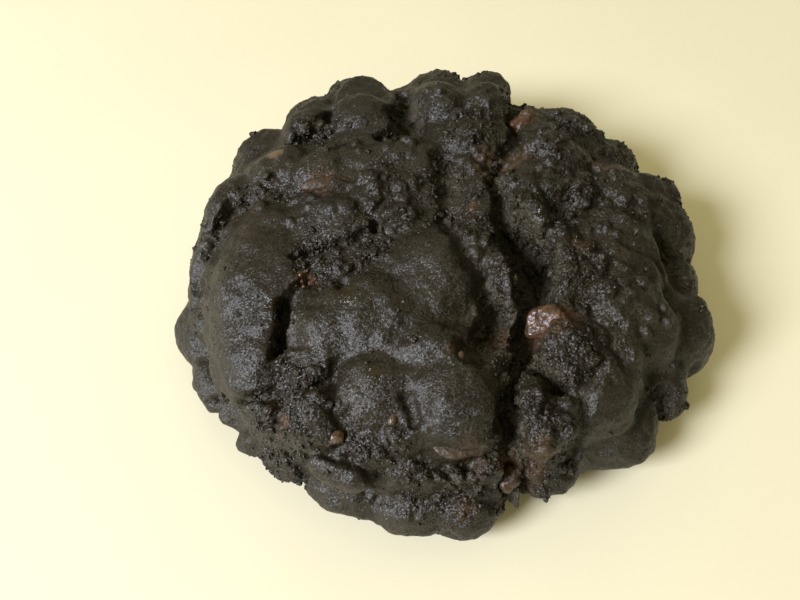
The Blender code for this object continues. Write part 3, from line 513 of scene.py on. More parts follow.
def add_top_lumps(bm):
    for x, y, rise, along, across, through, angle in LUMPS:
        up = dome_normal(x, y)
        crown = Vector((x, y, float(dome(x, y)) + rise))
        side = Matrix.Rotation(math.radians(angle), 3, "Z") @ Vector((1.0, 0.0, 0.0))
        side = (side - up * side.dot(up)).normalized()
        turn = Matrix((side, up.cross(side), up)).transposed()
        deep = through * LUMP_FLATNESS
        add_lump(bm, crown - up * deep, turn, (along, across, deep))


def add_rim_lumps(bm):
    for angle, reach, height, outward, along, upward in RIM_LUMPS:
        turn = Matrix.Rotation(math.radians(angle), 3, "Z")
        middle = turn @ Vector((reach - outward, 0.0, height))
        add_lump(bm, middle, turn, (outward, along, upward))


def add_core(bm):
    """The domed dough under the lumps, as a turned profile."""
    profile = []
    for i in range(CORE_STEPS + 1):
        reach = math.sin(0.5 * math.pi * i / CORE_STEPS)
        profile.append((reach, dome_height(reach) - CORE_DROP))
    profile.append((1.0, BELLY_HEIGHT))
    profile.append((BASE_INSET, -BASE_CUT))
    rings = []
    for reach, height in profile[1:]:
        ring = []
        for k in range(CORE_SIDES):
            angle = 2.0 * math.pi * k / CORE_SIDES
            x = (HALF_LENGTH - CORE_DROP) * reach * math.cos(angle)
            y = (HALF_WIDTH - CORE_DROP) * reach * math.sin(angle)
            ring.append(bm.verts.new((x, y, height)))
        rings.append(ring)
    crown = bm.verts.new((0.0, 0.0, profile[0][1]))
    for k in range(CORE_SIDES):
        after = (k + 1) % CORE_SIDES
        bm.faces.new((crown, rings[0][k], rings[0][after]))
        for lower, upper in zip(rings[1:], rings):
            bm.faces.new((upper[k], lower[k], lower[after], upper[after]))
    bm.faces.new(tuple(reversed(rings[-1])))


def fuse(thing, voxel, soften):
    """Fuse overlapping shapes into one skin and round it a little."""
    remesh = thing.modifiers.new("Fuse", "REMESH")
    remesh.mode = "VOXEL"
    remesh.voxel_size = voxel * MM
    smooth = thing.modifiers.new("Soften", "SMOOTH")
    smooth.factor = 0.5
    smooth.iterations = soften
    settle(thing)


def outward(points):
    """Directions that point out of the cookie, flat at the rim and upright on top."""
    lean = np.empty_like(points)
    lean[:, 0] = points[:, 0] / HALF_LENGTH ** 2
    lean[:, 1] = points[:, 1] / HALF_WIDTH ** 2
    lean[:, 2] = LEAN * np.maximum(points[:, 2] - 0.5 * RIM_HEIGHT, 0.0) / HEIGHT ** 2
    return lean / np.linalg.norm(lean, axis=1)[:, None]


def cut_along(flat_points, path):
    """How deep a split cuts at points in plan, deepest along its path."""
    depth = np.zeros(len(flat_points))
    for start, end in zip(path, path[1:]):
        run = np.subtract(end, start)
        t = np.clip((flat_points - start[:2]) @ run[:2] / (run[:2] @ run[:2]), 0.0, 1.0)
        gap = np.linalg.norm(flat_points - start[:2] - t[:, None] * run[:2], axis=1)
        across = 2.0 * gap / (start[2] + t * run[2])
        deep = start[3] + t * run[3]
        depth = np.maximum(depth, deep * fade((SPLIT_EDGE - across) / SPLIT_SLOPE))
    return depth


def fill_creases(mesh, rounds):
    """Fill the creases between lumps bit by bit, and leave the crowns as they are."""
    points = points_of(mesh)
    ends = rows_of(mesh.edges, "vertices", np.int32, 2)
    here, there = np.concatenate([ends, ends[:, ::-1]]).T
    neighbours = np.bincount(here, minlength=len(points))
    for _ in range(rounds):
        around = [np.bincount(here, points[there, axis], len(points)) for axis in range(3)]
        shift = np.stack(around, axis=1) / neighbours[:, None] - points
        way = outward(points)
        rise = np.maximum(np.sum(shift * way, axis=1), 0.0)
        points += rise[:, None] * way
    move_points(mesh, points)


def wobble(points, size, amount, seed):
    """Shift points by smooth noise, so that regular shapes turn uneven."""
    shift = [noise(points, size, seed + k) for k in range(3)]
    return points + amount * np.stack(shift, axis=1)


def split_depth(points):
    """How deep the splits and pits cut at each point."""
    wavy = points
    for k, (size, amount) in enumerate(SPLIT_SWAYS):
        wavy = wobble(wavy, size, amount, SPLIT_SEED + 10 * k)
    flat = wavy[:, :2]
    depth = np.zeros(len(points))
    for _, path in SPLITS:
        depth = np.maximum(depth, cut_along(flat, path))
    for x, y, half_width, deep in PITS:
        across = np.hypot(flat[:, 0] - x, flat[:, 1] - y) / half_width
        depth = np.maximum(depth, deep * fade((SPLIT_EDGE - across) / SPLIT_SLOPE))
    return depth


def cut_splits(mesh):
    """Open the splits and pits, straight down on top and inwards at the rim."""
    points = points_of(mesh)
    above_base = fade((points[:, 2] + BASE_CUT) / (2.0 * BASE_CUT))
    depth = split_depth(points) * above_base
    way = outward(points)
    way[:, :2] *= 1.0 - fade((points[:, 2] - UPRIGHT_CUTS) / UPRIGHT_BLEND)[:, None]
    way /= np.linalg.norm(way, axis=1)[:, None]
    move_points(mesh, points - depth[:, None] * way)


def skin_height(tree, x, y):
    """Height of the skin straight under a point in plan, in millimetres."""
    hit = tree.ray_cast(Vector((x, y, 2.0 * HEIGHT)) * MM, Vector((0.0, 0.0, -1.0)))
    return hit[0].z / MM


def uneven_lump(bm, rng, middle, size):
    """A small uneven lump, stretched and turned at random."""
    turn = Matrix.Rotation(rng.uniform(0.0, math.pi), 3, rng.normal(size=3))
    start = len(bm.verts)
    add_lump(bm, middle, turn, size * rng.uniform(*RUBBLE_STRETCH, size=3), 2)
    bm.verts.ensure_lookup_table()
    for vert in bm.verts[start:]:
        vert.co = middle + (vert.co - middle) * rng.uniform(*RUBBLE_DENTS)


def add_rubble(dough):
    """Scatter broken lumps on the skin, partly sunk, in the patches that show them."""
    rng = np.random.default_rng(SEED)
    tree = BVHTree.FromObject(dough, bpy.context.evaluated_depsgraph_get())
    bm = bmesh.new()
    for x, y, across, along, count, smallest, largest in RUBBLE:
        for _ in range(count):
            angle = rng.uniform(0.0, 2.0 * math.pi)
            reach = math.sqrt(rng.uniform())
            size = smallest + (largest - smallest) * rng.uniform() ** RUBBLE_SKEW
            place = (x + across * reach * math.cos(angle), y + along * reach * math.sin(angle))
            if math.hypot(*place) > RUBBLE_REACH:
                continue
            sink = rng.uniform(*RUBBLE_SINK) * size
            seat = Vector((*place, skin_height(tree, *place)))
            uneven_lump(bm, rng, seat - dome_normal(*place) * sink, size)
    bmesh.ops.scale(bm, vec=(MM, MM, MM), verts=bm.verts)
    bm.from_mesh(dough.data)
    bm.to_mesh(dough.data)
    bm.free()


def keep_largest(bm):
    """Drop every scrap but the largest connected skin."""
    left = set(bm.verts)
    largest = []
    while left:
        start = left.pop()
        island = [start]
        queue = [start]
        while queue:
            for edge in queue.pop().link_edges:
                for vert in edge.verts:
                    if vert in left:
                        left.remove(vert)
                        island.append(vert)
                        queue.append(vert)
        if len(island) > len(largest):
            largest = island
    scraps = set(bm.verts) - set(largest)
    bmesh.ops.delete(bm, geom=list(scraps), context="VERTS")


def flatten_base(mesh):
    """Cut the underside flat at the height of the table."""
    bm = bmesh.new()
    bm.from_mesh(mesh)
    everything = bm.verts[:] + bm.edges[:] + bm.faces[:]
    bmesh.ops.bisect_plane(bm, geom=everything, dist=1e-6, plane_co=(0, 0, 0),
                           plane_no=(0, 0, -1), clear_outer=True)
    keep_largest(bm)
    open_edges = [edge for edge in bm.edges if edge.is_boundary]
    bmesh.ops.holes_fill(bm, edges=open_edges, sides=0)
    bmesh.ops.triangulate(bm, faces=[f for f in bm.faces if len(f.verts) > 3])
    bmesh.ops.recalc_face_normals(bm, faces=bm.faces)
    bm.to_mesh(mesh)
    bm.free()


def patch_amount(points, patches, edge):
    """How strongly round patches cover each point, from 0 to 1."""
    start, slope = edge
    cover = np.zeros(len(points))
    for x, y, half, amount in patches:
        gap = np.hypot(points[:, 0] - x, points[:, 1] - y) / half
        cover = np.maximum(cover, amount * fade(start - slope * gap))
    return cover


def blotches(points, kind, seed):
    """Smooth noise of a given size about a middle value."""
    size, middle, amount = kind
    return middle + amount * noise(points, size, seed)


def smooth_amount(points):
    """How far each point lies inside a smooth patch."""
    start, slope = SMOOTH_EDGE
    cover = np.zeros(len(points))
    for x, y, half_x, half_y in SMOOTH:
        gap = np.hypot((points[:, 0] - x) / half_x, (points[:, 1] - y) / half_y)
        cover = np.maximum(cover, fade(start - slope * gap))
    return cover


def crumb_amount(points):
    """How broken and granular the dough is at each point, from 0 to 1."""
    wavy = wobble(points, *PATCH_SWAY, CRUMB_SEED)
    patches = patch_amount(wavy, CRUMBLY, PATCH_EDGE)
    walls = fade(split_depth(points) / BROKEN_WALL)
    uneven = blotches(points, CRUMB_BLOTCHES, CRUMB_SEED + 4)
    broken = np.clip(np.maximum(patches, walls) * uneven, 0.0, 1.0)
    broken *= 1.0 - SMOOTH_DAMPING * smooth_amount(wavy)
    lips = patch_amount(wavy, EDGES, PATCH_EDGE) * np.clip(uneven, 0.0, 1.0)
    return np.maximum(broken, lips)


def cells(points, size, seed):
    """Distance to the nearest of scattered points, as a share of their spacing."""
    place = points @ NOISE_TURN / size + seed * CELL_SHIFT
    cell = np.floor(place).astype(np.int64)
    nearest = np.full(len(points), np.inf)
    for step in np.ndindex(3, 3, 3):
        corner = cell + np.array(step) - 1
        key = scramble(corner, seed)
        spot = np.stack([(key * factor & 0xFFFF) / 0xFFFF for factor in SPOT_STEPS], axis=1)
        nearest = np.minimum(nearest, np.linalg.norm(corner + spot - place, axis=1))
    return nearest


def random_turns(rng, count):
    """Random rotation matrices."""
    turns = [Quaternion(row).normalized() for row in rng.normal(size=(count, 4))]
    return np.array([turn.to_matrix() for turn in turns])


def grain_shape(subdivisions):
    """The points and triangles of a round grain."""
    bm = bmesh.new()
    bmesh.ops.create_icosphere(bm, subdivisions=subdivisions, radius=1.0)
    points = np.array([vert.co for vert in bm.verts])
    faces = np.array([[vert.index for vert in face.verts] for face in bm.faces])
    bm.free()
    return points, faces


def add_meshes(name, parts):
    """One mesh of several arrays of points in millimetres and of triangles."""
    counts = np.cumsum([0] + [len(points) for points, _ in parts])
    points = np.concatenate([points for points, _ in parts]) * MM
    faces = np.concatenate([faces + start for (_, faces), start in zip(parts, counts)])
    mesh = bpy.data.meshes.new(name)
    mesh.from_pydata(points, [], faces)
    return mesh


def scatter_grains(rng, middles, normals, weights, kind):
    """Uneven grains at random places, chosen by weight, partly sunk in the skin."""
    count, small, large, uneven, subdivisions = kind
    shape, faces = grain_shape(subdivisions)
    chosen = rng.choice(len(middles), size=count, p=weights / weights.sum())
    radius = small + (large - small) * rng.random(count) ** GRAIN_SKEW
    stretch = 1.0 + GRAIN_STRETCH * rng.uniform(-1.0, 1.0, size=(count, 3))
    turns = random_turns(rng, count)
    lift = radius * rng.uniform(*GRAIN_LIFT, size=count)
    places = middles[chosen] + normals[chosen] * lift[:, None]
    lumpy = 1.0 + uneven * rng.uniform(-1.0, 1.0, size=(count, len(shape), 1))
    local = shape[None] * lumpy * stretch[:, None] * radius[:, None, None]
    points = np.einsum("nij,nkj->nki", turns, local) + places[:, None]
    starts = np.arange(count)[:, None, None] * len(shape)
    return points.reshape(-1, 3), (faces[None] + starts).reshape(-1, 3)


def chunk_middles():
    """Where the pieces of chocolate and raspberry lie, and how far each reaches."""
    found = []
    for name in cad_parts:
        if name == "cookie":
            continue
        low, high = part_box(name)
        middle = (low + high) / (2.0 * MM) - Vector((*CENTRING, 0.0))
        found.append((np.array(middle), (high - low).length / (2.0 * MM)))
    return found


def add_grains(name, dough, kind, seed):
    """Grains lying on the dough where it broke open, as one piece."""
    rng = np.random.default_rng(seed)
    faces = dough.data.polygons
    middles = rows_of(faces, "center") / MM
    middles[:, :2] -= CENTRING
    broken = BARE_SKIN + (1.0 - BARE_SKIN) * crumb_amount(middles) ** GRAIN_FOCUS
    weights = rows_of(faces, "area", width=1)[:, 0] * broken
    weights *= fade((middles[:, 2] - GRAIN_FLOOR) / GRAIN_FLOOR_BLEND)
    for middle, reach in chunk_middles():
        gap = np.linalg.norm(middles - middle, axis=1)
        weights[gap < reach * CHUNK_SHARE + CHUNK_CLEAR] = 0.0
    points, triangles = scatter_grains(rng, middles, rows_of(faces, "normal"), weights, kind)
    mesh = add_meshes(name, [(points + (*CENTRING, 0.0), triangles)])
    set_values(mesh, "loose", np.ones(len(points)))
    set_dough_values(mesh, points, np.ones(len(points)))
    finish_piece(add_object(name, mesh, dough.data.materials[0]), "cookie")


def waves(points, bands, seed, start=0.0):
    """Bands of smooth noise, each with its amount, size and seed, on top of a start."""
    total = start
    for amount, size, step in bands:
        total = total + amount * noise(points, size, seed + step)
    return total


def roughen_dough(mesh):
    """Give closed skin shallow waves and broken dough sharp granules."""
    points = points_of(mesh)
    low = fade((BACK_TOP - points[:, 2]) / BACK_TOP_BLEND)
    back = low * fade((points[:, 1] - BACK_START) / BACK_START_BLEND)
    skin = waves(points, SKIN_WAVES, SEED) + back * waves(points, BACK_WAVES, SEED)
    height, spacing, level = GRANULES
    granules = height * (level - cells(points, spacing, SEED + 4))
    granules += waves(points, GRANULE_WAVES, SEED)
    move = skin + crumb_amount(points) * granules
    move_points(mesh, points + move[:, None] * normals_of(mesh))


def stain_amount(points):
    """How strongly juice and caramel tint the dough at each point."""
    wavy = wobble(points, *STAIN_SWAY, STAIN_SEED)
    cover = patch_amount(wavy, STAINS, STAIN_EDGE)
    return cover * fade(blotches(points, STAIN_BLOTCHES, STAIN_SEED + 3))


def spot_amount(points, spots):
    """How far each point lies on one of some small spots, from 0 to 1."""
    wavy = wobble(points, *SPOT_SWAY, SPOT_SEED)
    return patch_amount(wavy, [(*spot, 1.0) for spot in spots], SPOT_EDGE)


def set_values(mesh, name, values):
    attribute = mesh.attributes.new(name, "FLOAT", "POINT")
    attribute.data.foreach_set("value", values.astype(np.float32))


def set_dough_values(mesh, points, crumb):
    """Values that the dough's surface reads at each point, given how broken it is."""
    set_values(mesh, "crumb", crumb)
    # How deep the splits cut here, which paints light into them and roughens them
    set_values(mesh, "depth", fade(split_depth(points) / DEEP_WALL))
    set_values(mesh, "stain", stain_amount(points))
    set_values(mesh, "fleck", spot_amount(points, FLECKS))


def make_fine_dough():
    """The dough, made like the solid's but finer, with its broken skin."""
    bm = bmesh.new()
    add_core(bm)
    add_top_lumps(bm)
    add_rim_lumps(bm)
    dough = add_object("dough", new_mesh("dough", bm))
    fuse(dough, VOXEL, 2)
    fill_creases(dough.data, round((CREASE_FILL / VOXEL) ** 2))
    move_points(dough.data, wobble(points_of(dough.data), *LUMP_SWAY, SEED))
    cut_splits(dough.data)
    add_rubble(dough)
    fuse(dough, FINE_VOXEL, 1)
    roughen_dough(dough.data)
    flatten_base(dough.data)
    decimate = dough.modifiers.new("Fewer faces", "DECIMATE")
    decimate.ratio = min(1.0, DOUGH_TRIANGLES / len(dough.data.polygons))
    settle(dough)
    points = points_of(dough.data)
    set_dough_values(dough.data, points, crumb_amount(points))
    set_values(dough.data, "wet", spot_amount(points, WET))
    points[:, :2] += CENTRING
    move_points(dough.data, points)
    paint(dough, dough_surface())
    finish_piece(dough, "cookie")
    return dough


def drupelets(points, seed):
    """Relief of baked raspberry: little round beads with folds between them."""
    height, spacing, level = DRUPELETS
    beads = level - cells(wobble(points, *DRUPELET_SWAY, seed + 3), spacing, seed)
    return waves(points, BERRY_WAVES, seed, height * beads)


def chip_relief(points, seed):
    """Relief of broken chocolate: low waves, small pits and a fine grain."""
    deep, spacing, half, slope = CHIP_PITS
    pits = fade(half - cells(points, spacing, seed)) * slope
    return waves(points, CHIP_WAVES, seed) - deep * pits


def make_fine_piece(node, seed, surface):
    """A finer copy of a piece, with the relief of raspberry or of chocolate."""
    mesh = node.data.copy()
    mesh.transform(node.matrix_world)
    piece = add_object(node.name + "_fine", mesh)
    fuse(piece, PIECE_VOXEL, 1)
    points = points_of(piece.data)
    relief = drupelets if node.name.startswith("raspberry") else chip_relief
    thin = min(1.0, min(piece.dimensions) / (FULL_RELIEF * MM))
    move = relief(points, seed) * thin
    move_points(piece.data, points + move[:, None] * normals_of(piece.data))
    paint(piece, surface)
    finish_piece(piece, node.name)


def add_fine_seeds(dough, surface):
    """The seeds that lie on the skin, with a fold along each."""
    tree = BVHTree.FromObject(dough, bpy.context.evaluated_depsgraph_get())
    shape, faces = grain_shape(4)
    dent_size, dent = SEED_DENTS
    parts = []
    for k, (x, y, along, across, angle) in enumerate(SEEDS):
        x, y = x + CENTRING[0], y + CENTRING[1]
        turn = np.array(Matrix.Rotation(math.radians(angle), 3, "Z"))
        dented = shape * (1.0 + dent * noise(shape, dent_size, DENT_SEED + k))[:, None]
        fold = SEED_FOLD * np.exp(-(dented[:, 1] / SEED_FOLD_WIDTH) ** 2)
        dented[:, 2] -= fold * (dented[:, 2] > 0)
        points = (dented * (along, across, across)) @ turn.T + (x, y, skin_height(tree, x, y))
        parts.append((points, faces))
    seeds = add_object("seeds", add_meshes("seeds", parts), surface)
    finish_piece(seeds, "cookie")


def add_curl(dough, surface):
    """A thin curl of raspberry skin that stands round a hole, open on one side."""
    x, y, radius, thick = CURL
    x, y = x + CENTRING[0], y + CENTRING[1]
    tree = BVHTree.FromObject(dough, bpy.context.evaluated_depsgraph_get())
    bm = bmesh.new()
    for k in range(CURL_STEPS):
        angle = 2.0 * math.pi * (CURL_START + CURL_SWEEP * k / (CURL_STEPS - 1))
        wave = 1.0 + CURL_WAVE[0] * math.sin(CURL_WAVE[1] * angle + 1.0)
        ahead = CURL_LENGTHENING * wave * radius * math.sin(angle)
        place = (x + wave * radius * math.cos(angle), y + ahead)
        seat = Vector((*place, skin_height(tree, *place) + CURL_LIFT * thick))
        swell = thick * (1.0 + CURL_SWELL[0] * math.sin(CURL_SWELL[1] * angle))
        sizes = (swell, CURL_ACROSS * thick, CURL_UPRIGHT * swell)
        add_lump(bm, seat, Matrix.Rotation(angle, 3, "Z"), sizes, 2)
    curl = add_object("curl", new_mesh("curl", bm), surface)
    fuse(curl, PIECE_VOXEL, 2)
    paint(curl, surface)
    finish_piece(curl, "cookie")


# Colours, in linear light
DARK_DOUGH = (0.0106, 0.0078, 0.0032, 1.0)
PALE_DOUGH = (0.0190, 0.0140, 0.0057, 1.0)
CRUMB_DOUGH = (0.0190, 0.0125, 0.0055, 1.0)
# Painted shade: near black, laid in the hollows between granules
GAP_PAINTED_SHADE = (0.0045, 0.0034, 0.0016, 1.0)
# Painted light: paler than the dough, it lifts the shade deep in the splits
SPLIT_PAINTED_LIGHT = (0.0270, 0.0215, 0.0090, 1.0)
STAINED_DOUGH = (0.058, 0.028, 0.011, 1.0)
CHIP = (0.043, 0.027, 0.012, 1.0)
DARK_CHIP = (0.022, 0.014, 0.006, 1.0)
BERRY = (0.070, 0.033, 0.014, 1.0)
DARK_BERRY = (0.024, 0.012, 0.006, 1.0)
DULL_BERRY = (0.040, 0.020, 0.009, 1.0)
SEED_SKIN = (0.092, 0.060, 0.033, 1.0)
DARK_SEED = (0.036, 0.020, 0.010, 1.0)
FLOOR_COLOUR = (0.52, 0.49, 0.36, 1.0)

# Surfaces of the pieces: name, colour, darker colour, roughness and gloss
BERRY_LOOK = ("raspberry_piece", BERRY, DARK_BERRY, 0.36, 0.5)
DULL_BERRY_LOOK = ("dull_raspberry_piece", DULL_BERRY, DARK_BERRY, 0.45, 0.5)
CHIP_LOOK = ("chocolate_chip", CHIP, DARK_CHIP, 0.5, 0.3)
SEED_LOOK = ("seed", SEED_SKIN, DARK_SEED, 0.35, 0.5)

# Sizes in millimetres of the patterns in the dough's colour and relief
BROAD_SIZE = 9.0
FINE_SIZE = 0.9
GRANULE_SIZE = 0.75
SPECKLE_SIZE = 0.5
PORE_SIZE = 0.32
FACET_SIZE = 0.27

# Height in millimetres and strength of each relief of the dough
COARSE_BUMP = (0.30, 0.85)
PORE_BUMP = (0.09, 0.8)
GRANULE_BUMP = (0.35, 0.9)

# Tilt of the facets of closed skin and of broken dough
FACET_TILTS = (0.50, 0.85)

# Shares of pale dough in skin, of painted light in splits and of painted shade between granules,
# and the distances from a granule's middle over which that painted shade sets in
PALE_SHARE = 0.6
SPLIT_PAINTED_LIGHT_SHARE = 0.8
GAP_PAINTED_SHADE_SHARE = 0.8
GAP_PAINTED_SHADE_RANGE = (0.42, 0.72)

# Roughness of the dough's speckles, and what each of its values adds
SPECKLE_ROUGHNESS = (0.40, 0.58)
ADDED_ROUGHNESS = (("crumb", -0.04), ("depth", 0.16), ("wet", -0.24))
DOUGH_GLOSS = 0.42

# The pieces' shades, grain and shine: sizes in millimetres, height and strength of
# the grain, and how much the roughness varies either way
SHADE_SIZE = 1.4
GRAIN_SIZE = 0.5
SHINE_SIZE = 0.7
GRAIN_BUMP = (0.17, 0.8)
SHINE_SPREAD = 0.3

# How far from its middle a pattern goes from none to full
CRISP = 0.15
SOFT = 0.2

# The floor: half its side, how far it lies under the base and the size of its clouds
# in millimetres, how crisp and how much paler they are, and its roughness
FLOOR_HALF = 3000.0
FLOOR_DROP = 0.05
CLOUD_SIZE = 60.0
CLOUD_EDGE = 0.1
CLOUD_PALER = 1.02
FLOOR_ROUGHNESS = 0.8

# The camera of the photograph: lens, sensor and place in millimetres, and its axes
LENS = 31.04
SENSOR_WIDTH = 36.0
CLIP_START = 5.0
CAMERA_PLACE = (-6.1, -80.3, 120.7)
CAMERA_RIGHT = (0.99658, -0.06883, -0.04579)
CAMERA_UP = (0.08267, 0.82975, 0.55198)
CAMERA_BACK = (0.0, -0.55388, 0.83260)

# Lights: name, direction, distance and size in metres, power in watts and colour
LIGHTS = (
    ("window", (-0.69, -0.37, 0.62), 0.9, 0.36, 18.5, (0.88, 0.90, 1.0)),
    ("room", (0.15, 0.60, 0.78), 1.2, 1.4, 3.6, (1.0, 0.92, 0.66)),
)

# The room's light: colour, strength, and what shiny surfaces reflect of it
WORLD_COLOUR = (1.0, 0.89, 0.48, 1.0)
FILL = 0.60
REFLECTED_FILL = 0.07


class Surface:
    """A material and short ways to add and join its nodes."""

    def __init__(self, name):
        self.made = bpy.data.materials.new(name)
        self.made.use_nodes = True
        self.tree = self.made.node_tree
        self.shader = self.tree.nodes["Principled BSDF"]
        coordinates = self.tree.nodes.new("ShaderNodeTexCoord")
        self.place = coordinates.outputs["Object"]

    def put(self, socket, value):
        if isinstance(value, bpy.types.NodeSocket):
            self.tree.links.new(value, socket)
        else:
            socket.default_value = value

    def add(self, kind, *values, settings=None, **inputs):
        """A node with values for its first inputs and for the named ones."""
        node = self.tree.nodes.new("ShaderNode" + kind)
        for name, value in (settings or {}).items():
            setattr(node, name, value)
        for socket, value in zip(node.inputs, values):
            self.put(socket, value)
        for name, value in inputs.items():
            self.put(node.inputs[name.replace("_", " ")], value)
        return node

    def value(self, name):
        return self.add("Attribute", settings={"attribute_name": name}).outputs["Fac"]

    def noise(self, size, detail=3.0, roughness=0.55):
        """Noise with features of about the given size in millimetres."""
        node = self.add("TexNoise", Vector=self.place, Scale=1.0 / (size * MM), Detail=detail,
                        Roughness=roughness)
        return node.outputs["Fac"]

    def cells(self, size, output="Distance"):
        node = self.add("TexVoronoi", Vector=self.place, Scale=1.0 / (size * MM))
        return node.outputs[output]

    def ramp(self, factor, low, high, out_low=0.0, out_high=1.0):
        return self.add("MapRange", factor, low, high, out_low, out_high).outputs[0]

    def stretch(self, pattern, edge, out_low=0.0, out_high=1.0):
        """Stretch the middle of a pattern, up to an edge either way."""
        return self.ramp(pattern, 0.5 - edge, 0.5 + edge, out_low, out_high)

    def plus(self, a, b):
        return self.add("Math", a, b).outputs[0]

    def times(self, a, b):
        return self.add("Math", a, b, settings={"operation": "MULTIPLY"}).outputs[0]

    def vector(self, kind, *values, **inputs):
        return self.add("VectorMath", *values, settings={"operation": kind}, **inputs).outputs[0]

    def blend(self, factor, a, b):
        node = self.add("Mix", settings={"data_type": "RGBA"}, Factor=factor)
        self.put(node.inputs[6], a)
        self.put(node.inputs[7], b)
        return node.outputs[2]

    def bump(self, pattern, relief, normal=None):
        """Relief of a pattern: its height in millimetres and its strength."""
        height, strength = relief
        node = self.add("Bump", Height=pattern, Strength=strength, Distance=height * MM)
        if normal is not None:
            self.put(node.inputs["Normal"], normal)
        return node.outputs["Normal"]

    def facets(self, normal, size, tilt):
        """Tilt the normal at random in each small grain, as on a granular surface."""
        spread = self.vector("SUBTRACT", self.cells(size, "Color"), (0.5, 0.5, 0.5))
        spread = self.vector("SCALE", spread, Scale=tilt)
        return self.vector("NORMALIZE", self.vector("ADD", normal, spread))

    def finish(self, **inputs):
        for name, value in inputs.items():
            self.put(self.shader.inputs[name.replace("_", " ")], value)
        return self.made


def dough_surface():
    """Nearly black dough: oily skin, broken crumb, painted light in deep splits, painted
    shade between granules, stains and flecks.
    """
    s = Surface("baked_dough")
    crumb = s.value("crumb")
    broad = s.stretch(s.noise(BROAD_SIZE, 2.0), CRISP)
    fine = s.stretch(s.noise(FINE_SIZE, 4.0), SOFT)
    skin = s.blend(s.times(broad, PALE_SHARE), DARK_DOUGH, PALE_DOUGH)
    open_dough = s.blend(fine, DARK_DOUGH, CRUMB_DOUGH)
    # Painted shade between the granules of broken dough, none on loose grains
    painted_shade_share = s.ramp(s.value("loose"), 0.0, 1.0, GAP_PAINTED_SHADE_SHARE, 0.0)
    painted_gap_shade = s.times(s.ramp(s.cells(GRANULE_SIZE), *GAP_PAINTED_SHADE_RANGE), painted_shade_share)
    open_dough = s.blend(painted_gap_shade, open_dough, GAP_PAINTED_SHADE)
    colour = s.blend(crumb, skin, open_dough)
    # Painted light in the splits, paler than the dough around them
    colour = s.blend(s.times(s.value("depth"), SPLIT_PAINTED_LIGHT_SHARE), colour, SPLIT_PAINTED_LIGHT)
    colour = s.blend(s.value("stain"), colour, STAINED_DOUGH)
    colour = s.blend(s.value("fleck"), colour, SEED_SKIN)
    speckle = s.stretch(s.noise(SPECKLE_SIZE, 3.0, 0.7), CRISP)
    rough = s.ramp(speckle, 0.0, 1.0, *SPECKLE_ROUGHNESS)
    for name, more in ADDED_ROUGHNESS:
        rough = s.plus(rough, s.times(s.value(name), more))
    normal = s.bump(s.noise(FINE_SIZE, 3.0, 0.65), COARSE_BUMP)
    normal = s.bump(s.noise(PORE_SIZE, 2.0, 0.7), PORE_BUMP, normal)
    granules = s.times(s.cells(GRANULE_SIZE), s.times(crumb, -1.0))
    normal = s.bump(granules, GRANULE_BUMP, normal)
    normal = s.facets(normal, FACET_SIZE, s.ramp(crumb, 0.0, 1.0, *FACET_TILTS))
    return s.finish(Base_Color=colour, Roughness=rough, Normal=normal,
                    Specular_IOR_Level=DOUGH_GLOSS)


def simple_surface(name, colour, dark, roughness, gloss):
    """Fruit, chocolate or seed: two shades, a fine grain and an uneven shine."""
    s = Surface(name)
    mix = s.stretch(s.noise(SHADE_SIZE, 4.0, 0.6), CRISP)
    normal = s.bump(s.noise(GRAIN_SIZE, 3.0, 0.6), GRAIN_BUMP)
    low, high = (roughness * (1.0 + way * SHINE_SPREAD) for way in (-1, 1))
    rough = s.stretch(s.noise(SHINE_SIZE), SOFT, low, high)
    return s.finish(Base_Color=s.blend(mix, dark, colour), Roughness=rough, Normal=normal,
                    Specular_IOR_Level=gloss)


def floor_surface():
    s = Surface("pale_floor")
    mix = s.stretch(s.noise(CLOUD_SIZE, 2.0), CLOUD_EDGE)
    pale = tuple(min(1.0, CLOUD_PALER * value) for value in FLOOR_COLOUR[:3]) + (1.0,)
    return s.finish(Base_Color=s.blend(mix, FLOOR_COLOUR, pale), Roughness=FLOOR_ROUGHNESS)


def add_floor():
    bm = bmesh.new()
    bmesh.ops.create_grid(bm, x_segments=1, y_segments=1, size=FLOOR_HALF)
    floor = add_object("floor", new_mesh("floor", bm), floor_surface())
    floor.location.z = -FLOOR_DROP * MM


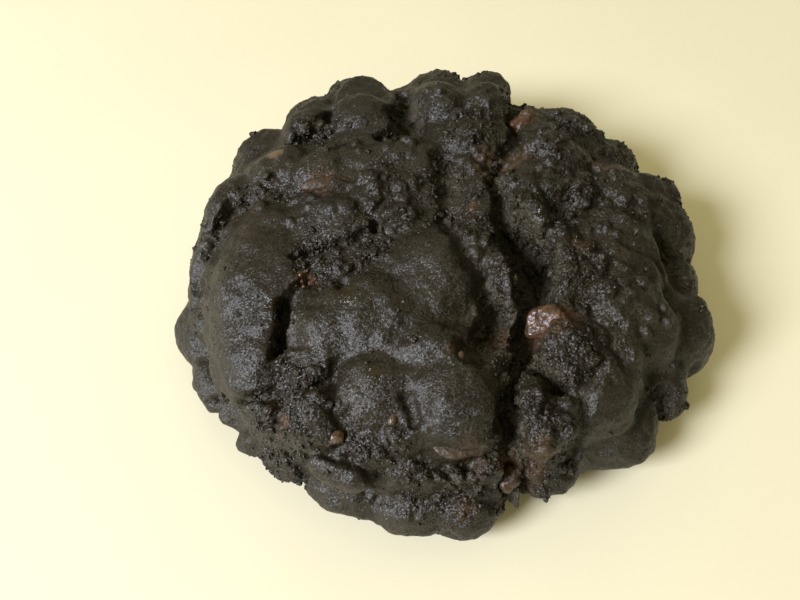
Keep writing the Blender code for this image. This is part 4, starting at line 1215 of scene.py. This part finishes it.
def add_camera():
    data = bpy.data.cameras.new("camera")
    data.lens = LENS
    data.sensor_width = SENSOR_WIDTH
    data.clip_start = CLIP_START * MM
    camera = add_object("camera", data)
    turn = Matrix((CAMERA_RIGHT, CAMERA_UP, CAMERA_BACK)).transposed().to_4x4()
    place = (Vector(CAMERA_PLACE) + Vector((*CENTRING, 0.0))) * MM
    camera.matrix_world = Matrix.Translation(place) @ turn
    bpy.context.scene.camera = camera


def add_light(name, towards, distance, size, power, colour):
    data = bpy.data.lights.new(name, "AREA")
    data.shape = "DISK"
    data.size = size
    data.energy = power
    data.color = colour
    light = add_object(name, data)
    direction = Vector(towards).normalized()
    light.location = direction * distance
    light.rotation_euler = direction.to_track_quat("Z", "Y").to_euler()


def add_room_light():
    """Even light from all round, which shiny surfaces reflect only faintly."""
    world = bpy.data.worlds.new("studio")
    bpy.context.scene.world = world
    world.use_nodes = True
    nodes = world.node_tree.nodes
    background = nodes["Background"]
    background.inputs["Color"].default_value = WORLD_COLOUR
    rays = nodes.new("ShaderNodeLightPath")
    dimmer = nodes.new("ShaderNodeMapRange")
    dimmer.inputs["To Min"].default_value = FILL
    dimmer.inputs["To Max"].default_value = REFLECTED_FILL
    world.node_tree.links.new(rays.outputs["Is Glossy Ray"], dimmer.inputs["Value"])
    world.node_tree.links.new(dimmer.outputs["Result"], background.inputs["Strength"])
    bpy.context.scene.view_settings.view_transform = "Standard"


def main():
    add_camera()
    for light in LIGHTS:
        add_light(*light)
    add_room_light()
    add_floor()
    dough = make_fine_dough()
    add_grains("crumbs", dough, CRUMBS, SEED + 1)
    add_grains("grit", dough, GRIT, SEED + 2)
    berry = simple_surface(*BERRY_LOOK)
    chip = simple_surface(*CHIP_LOOK)
    add_curl(dough, berry)
    add_fine_seeds(dough, simple_surface(*SEED_LOOK))
    for k, (name, node) in enumerate(sorted(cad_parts.items())):
        if name != "cookie":
            surface = berry if name.startswith("raspberry") else chip
            if name == "raspberry_front":
                surface = simple_surface(*DULL_BERRY_LOOK)
            make_fine_piece(node, PIECE_SEED + 5 * k, surface)


main()
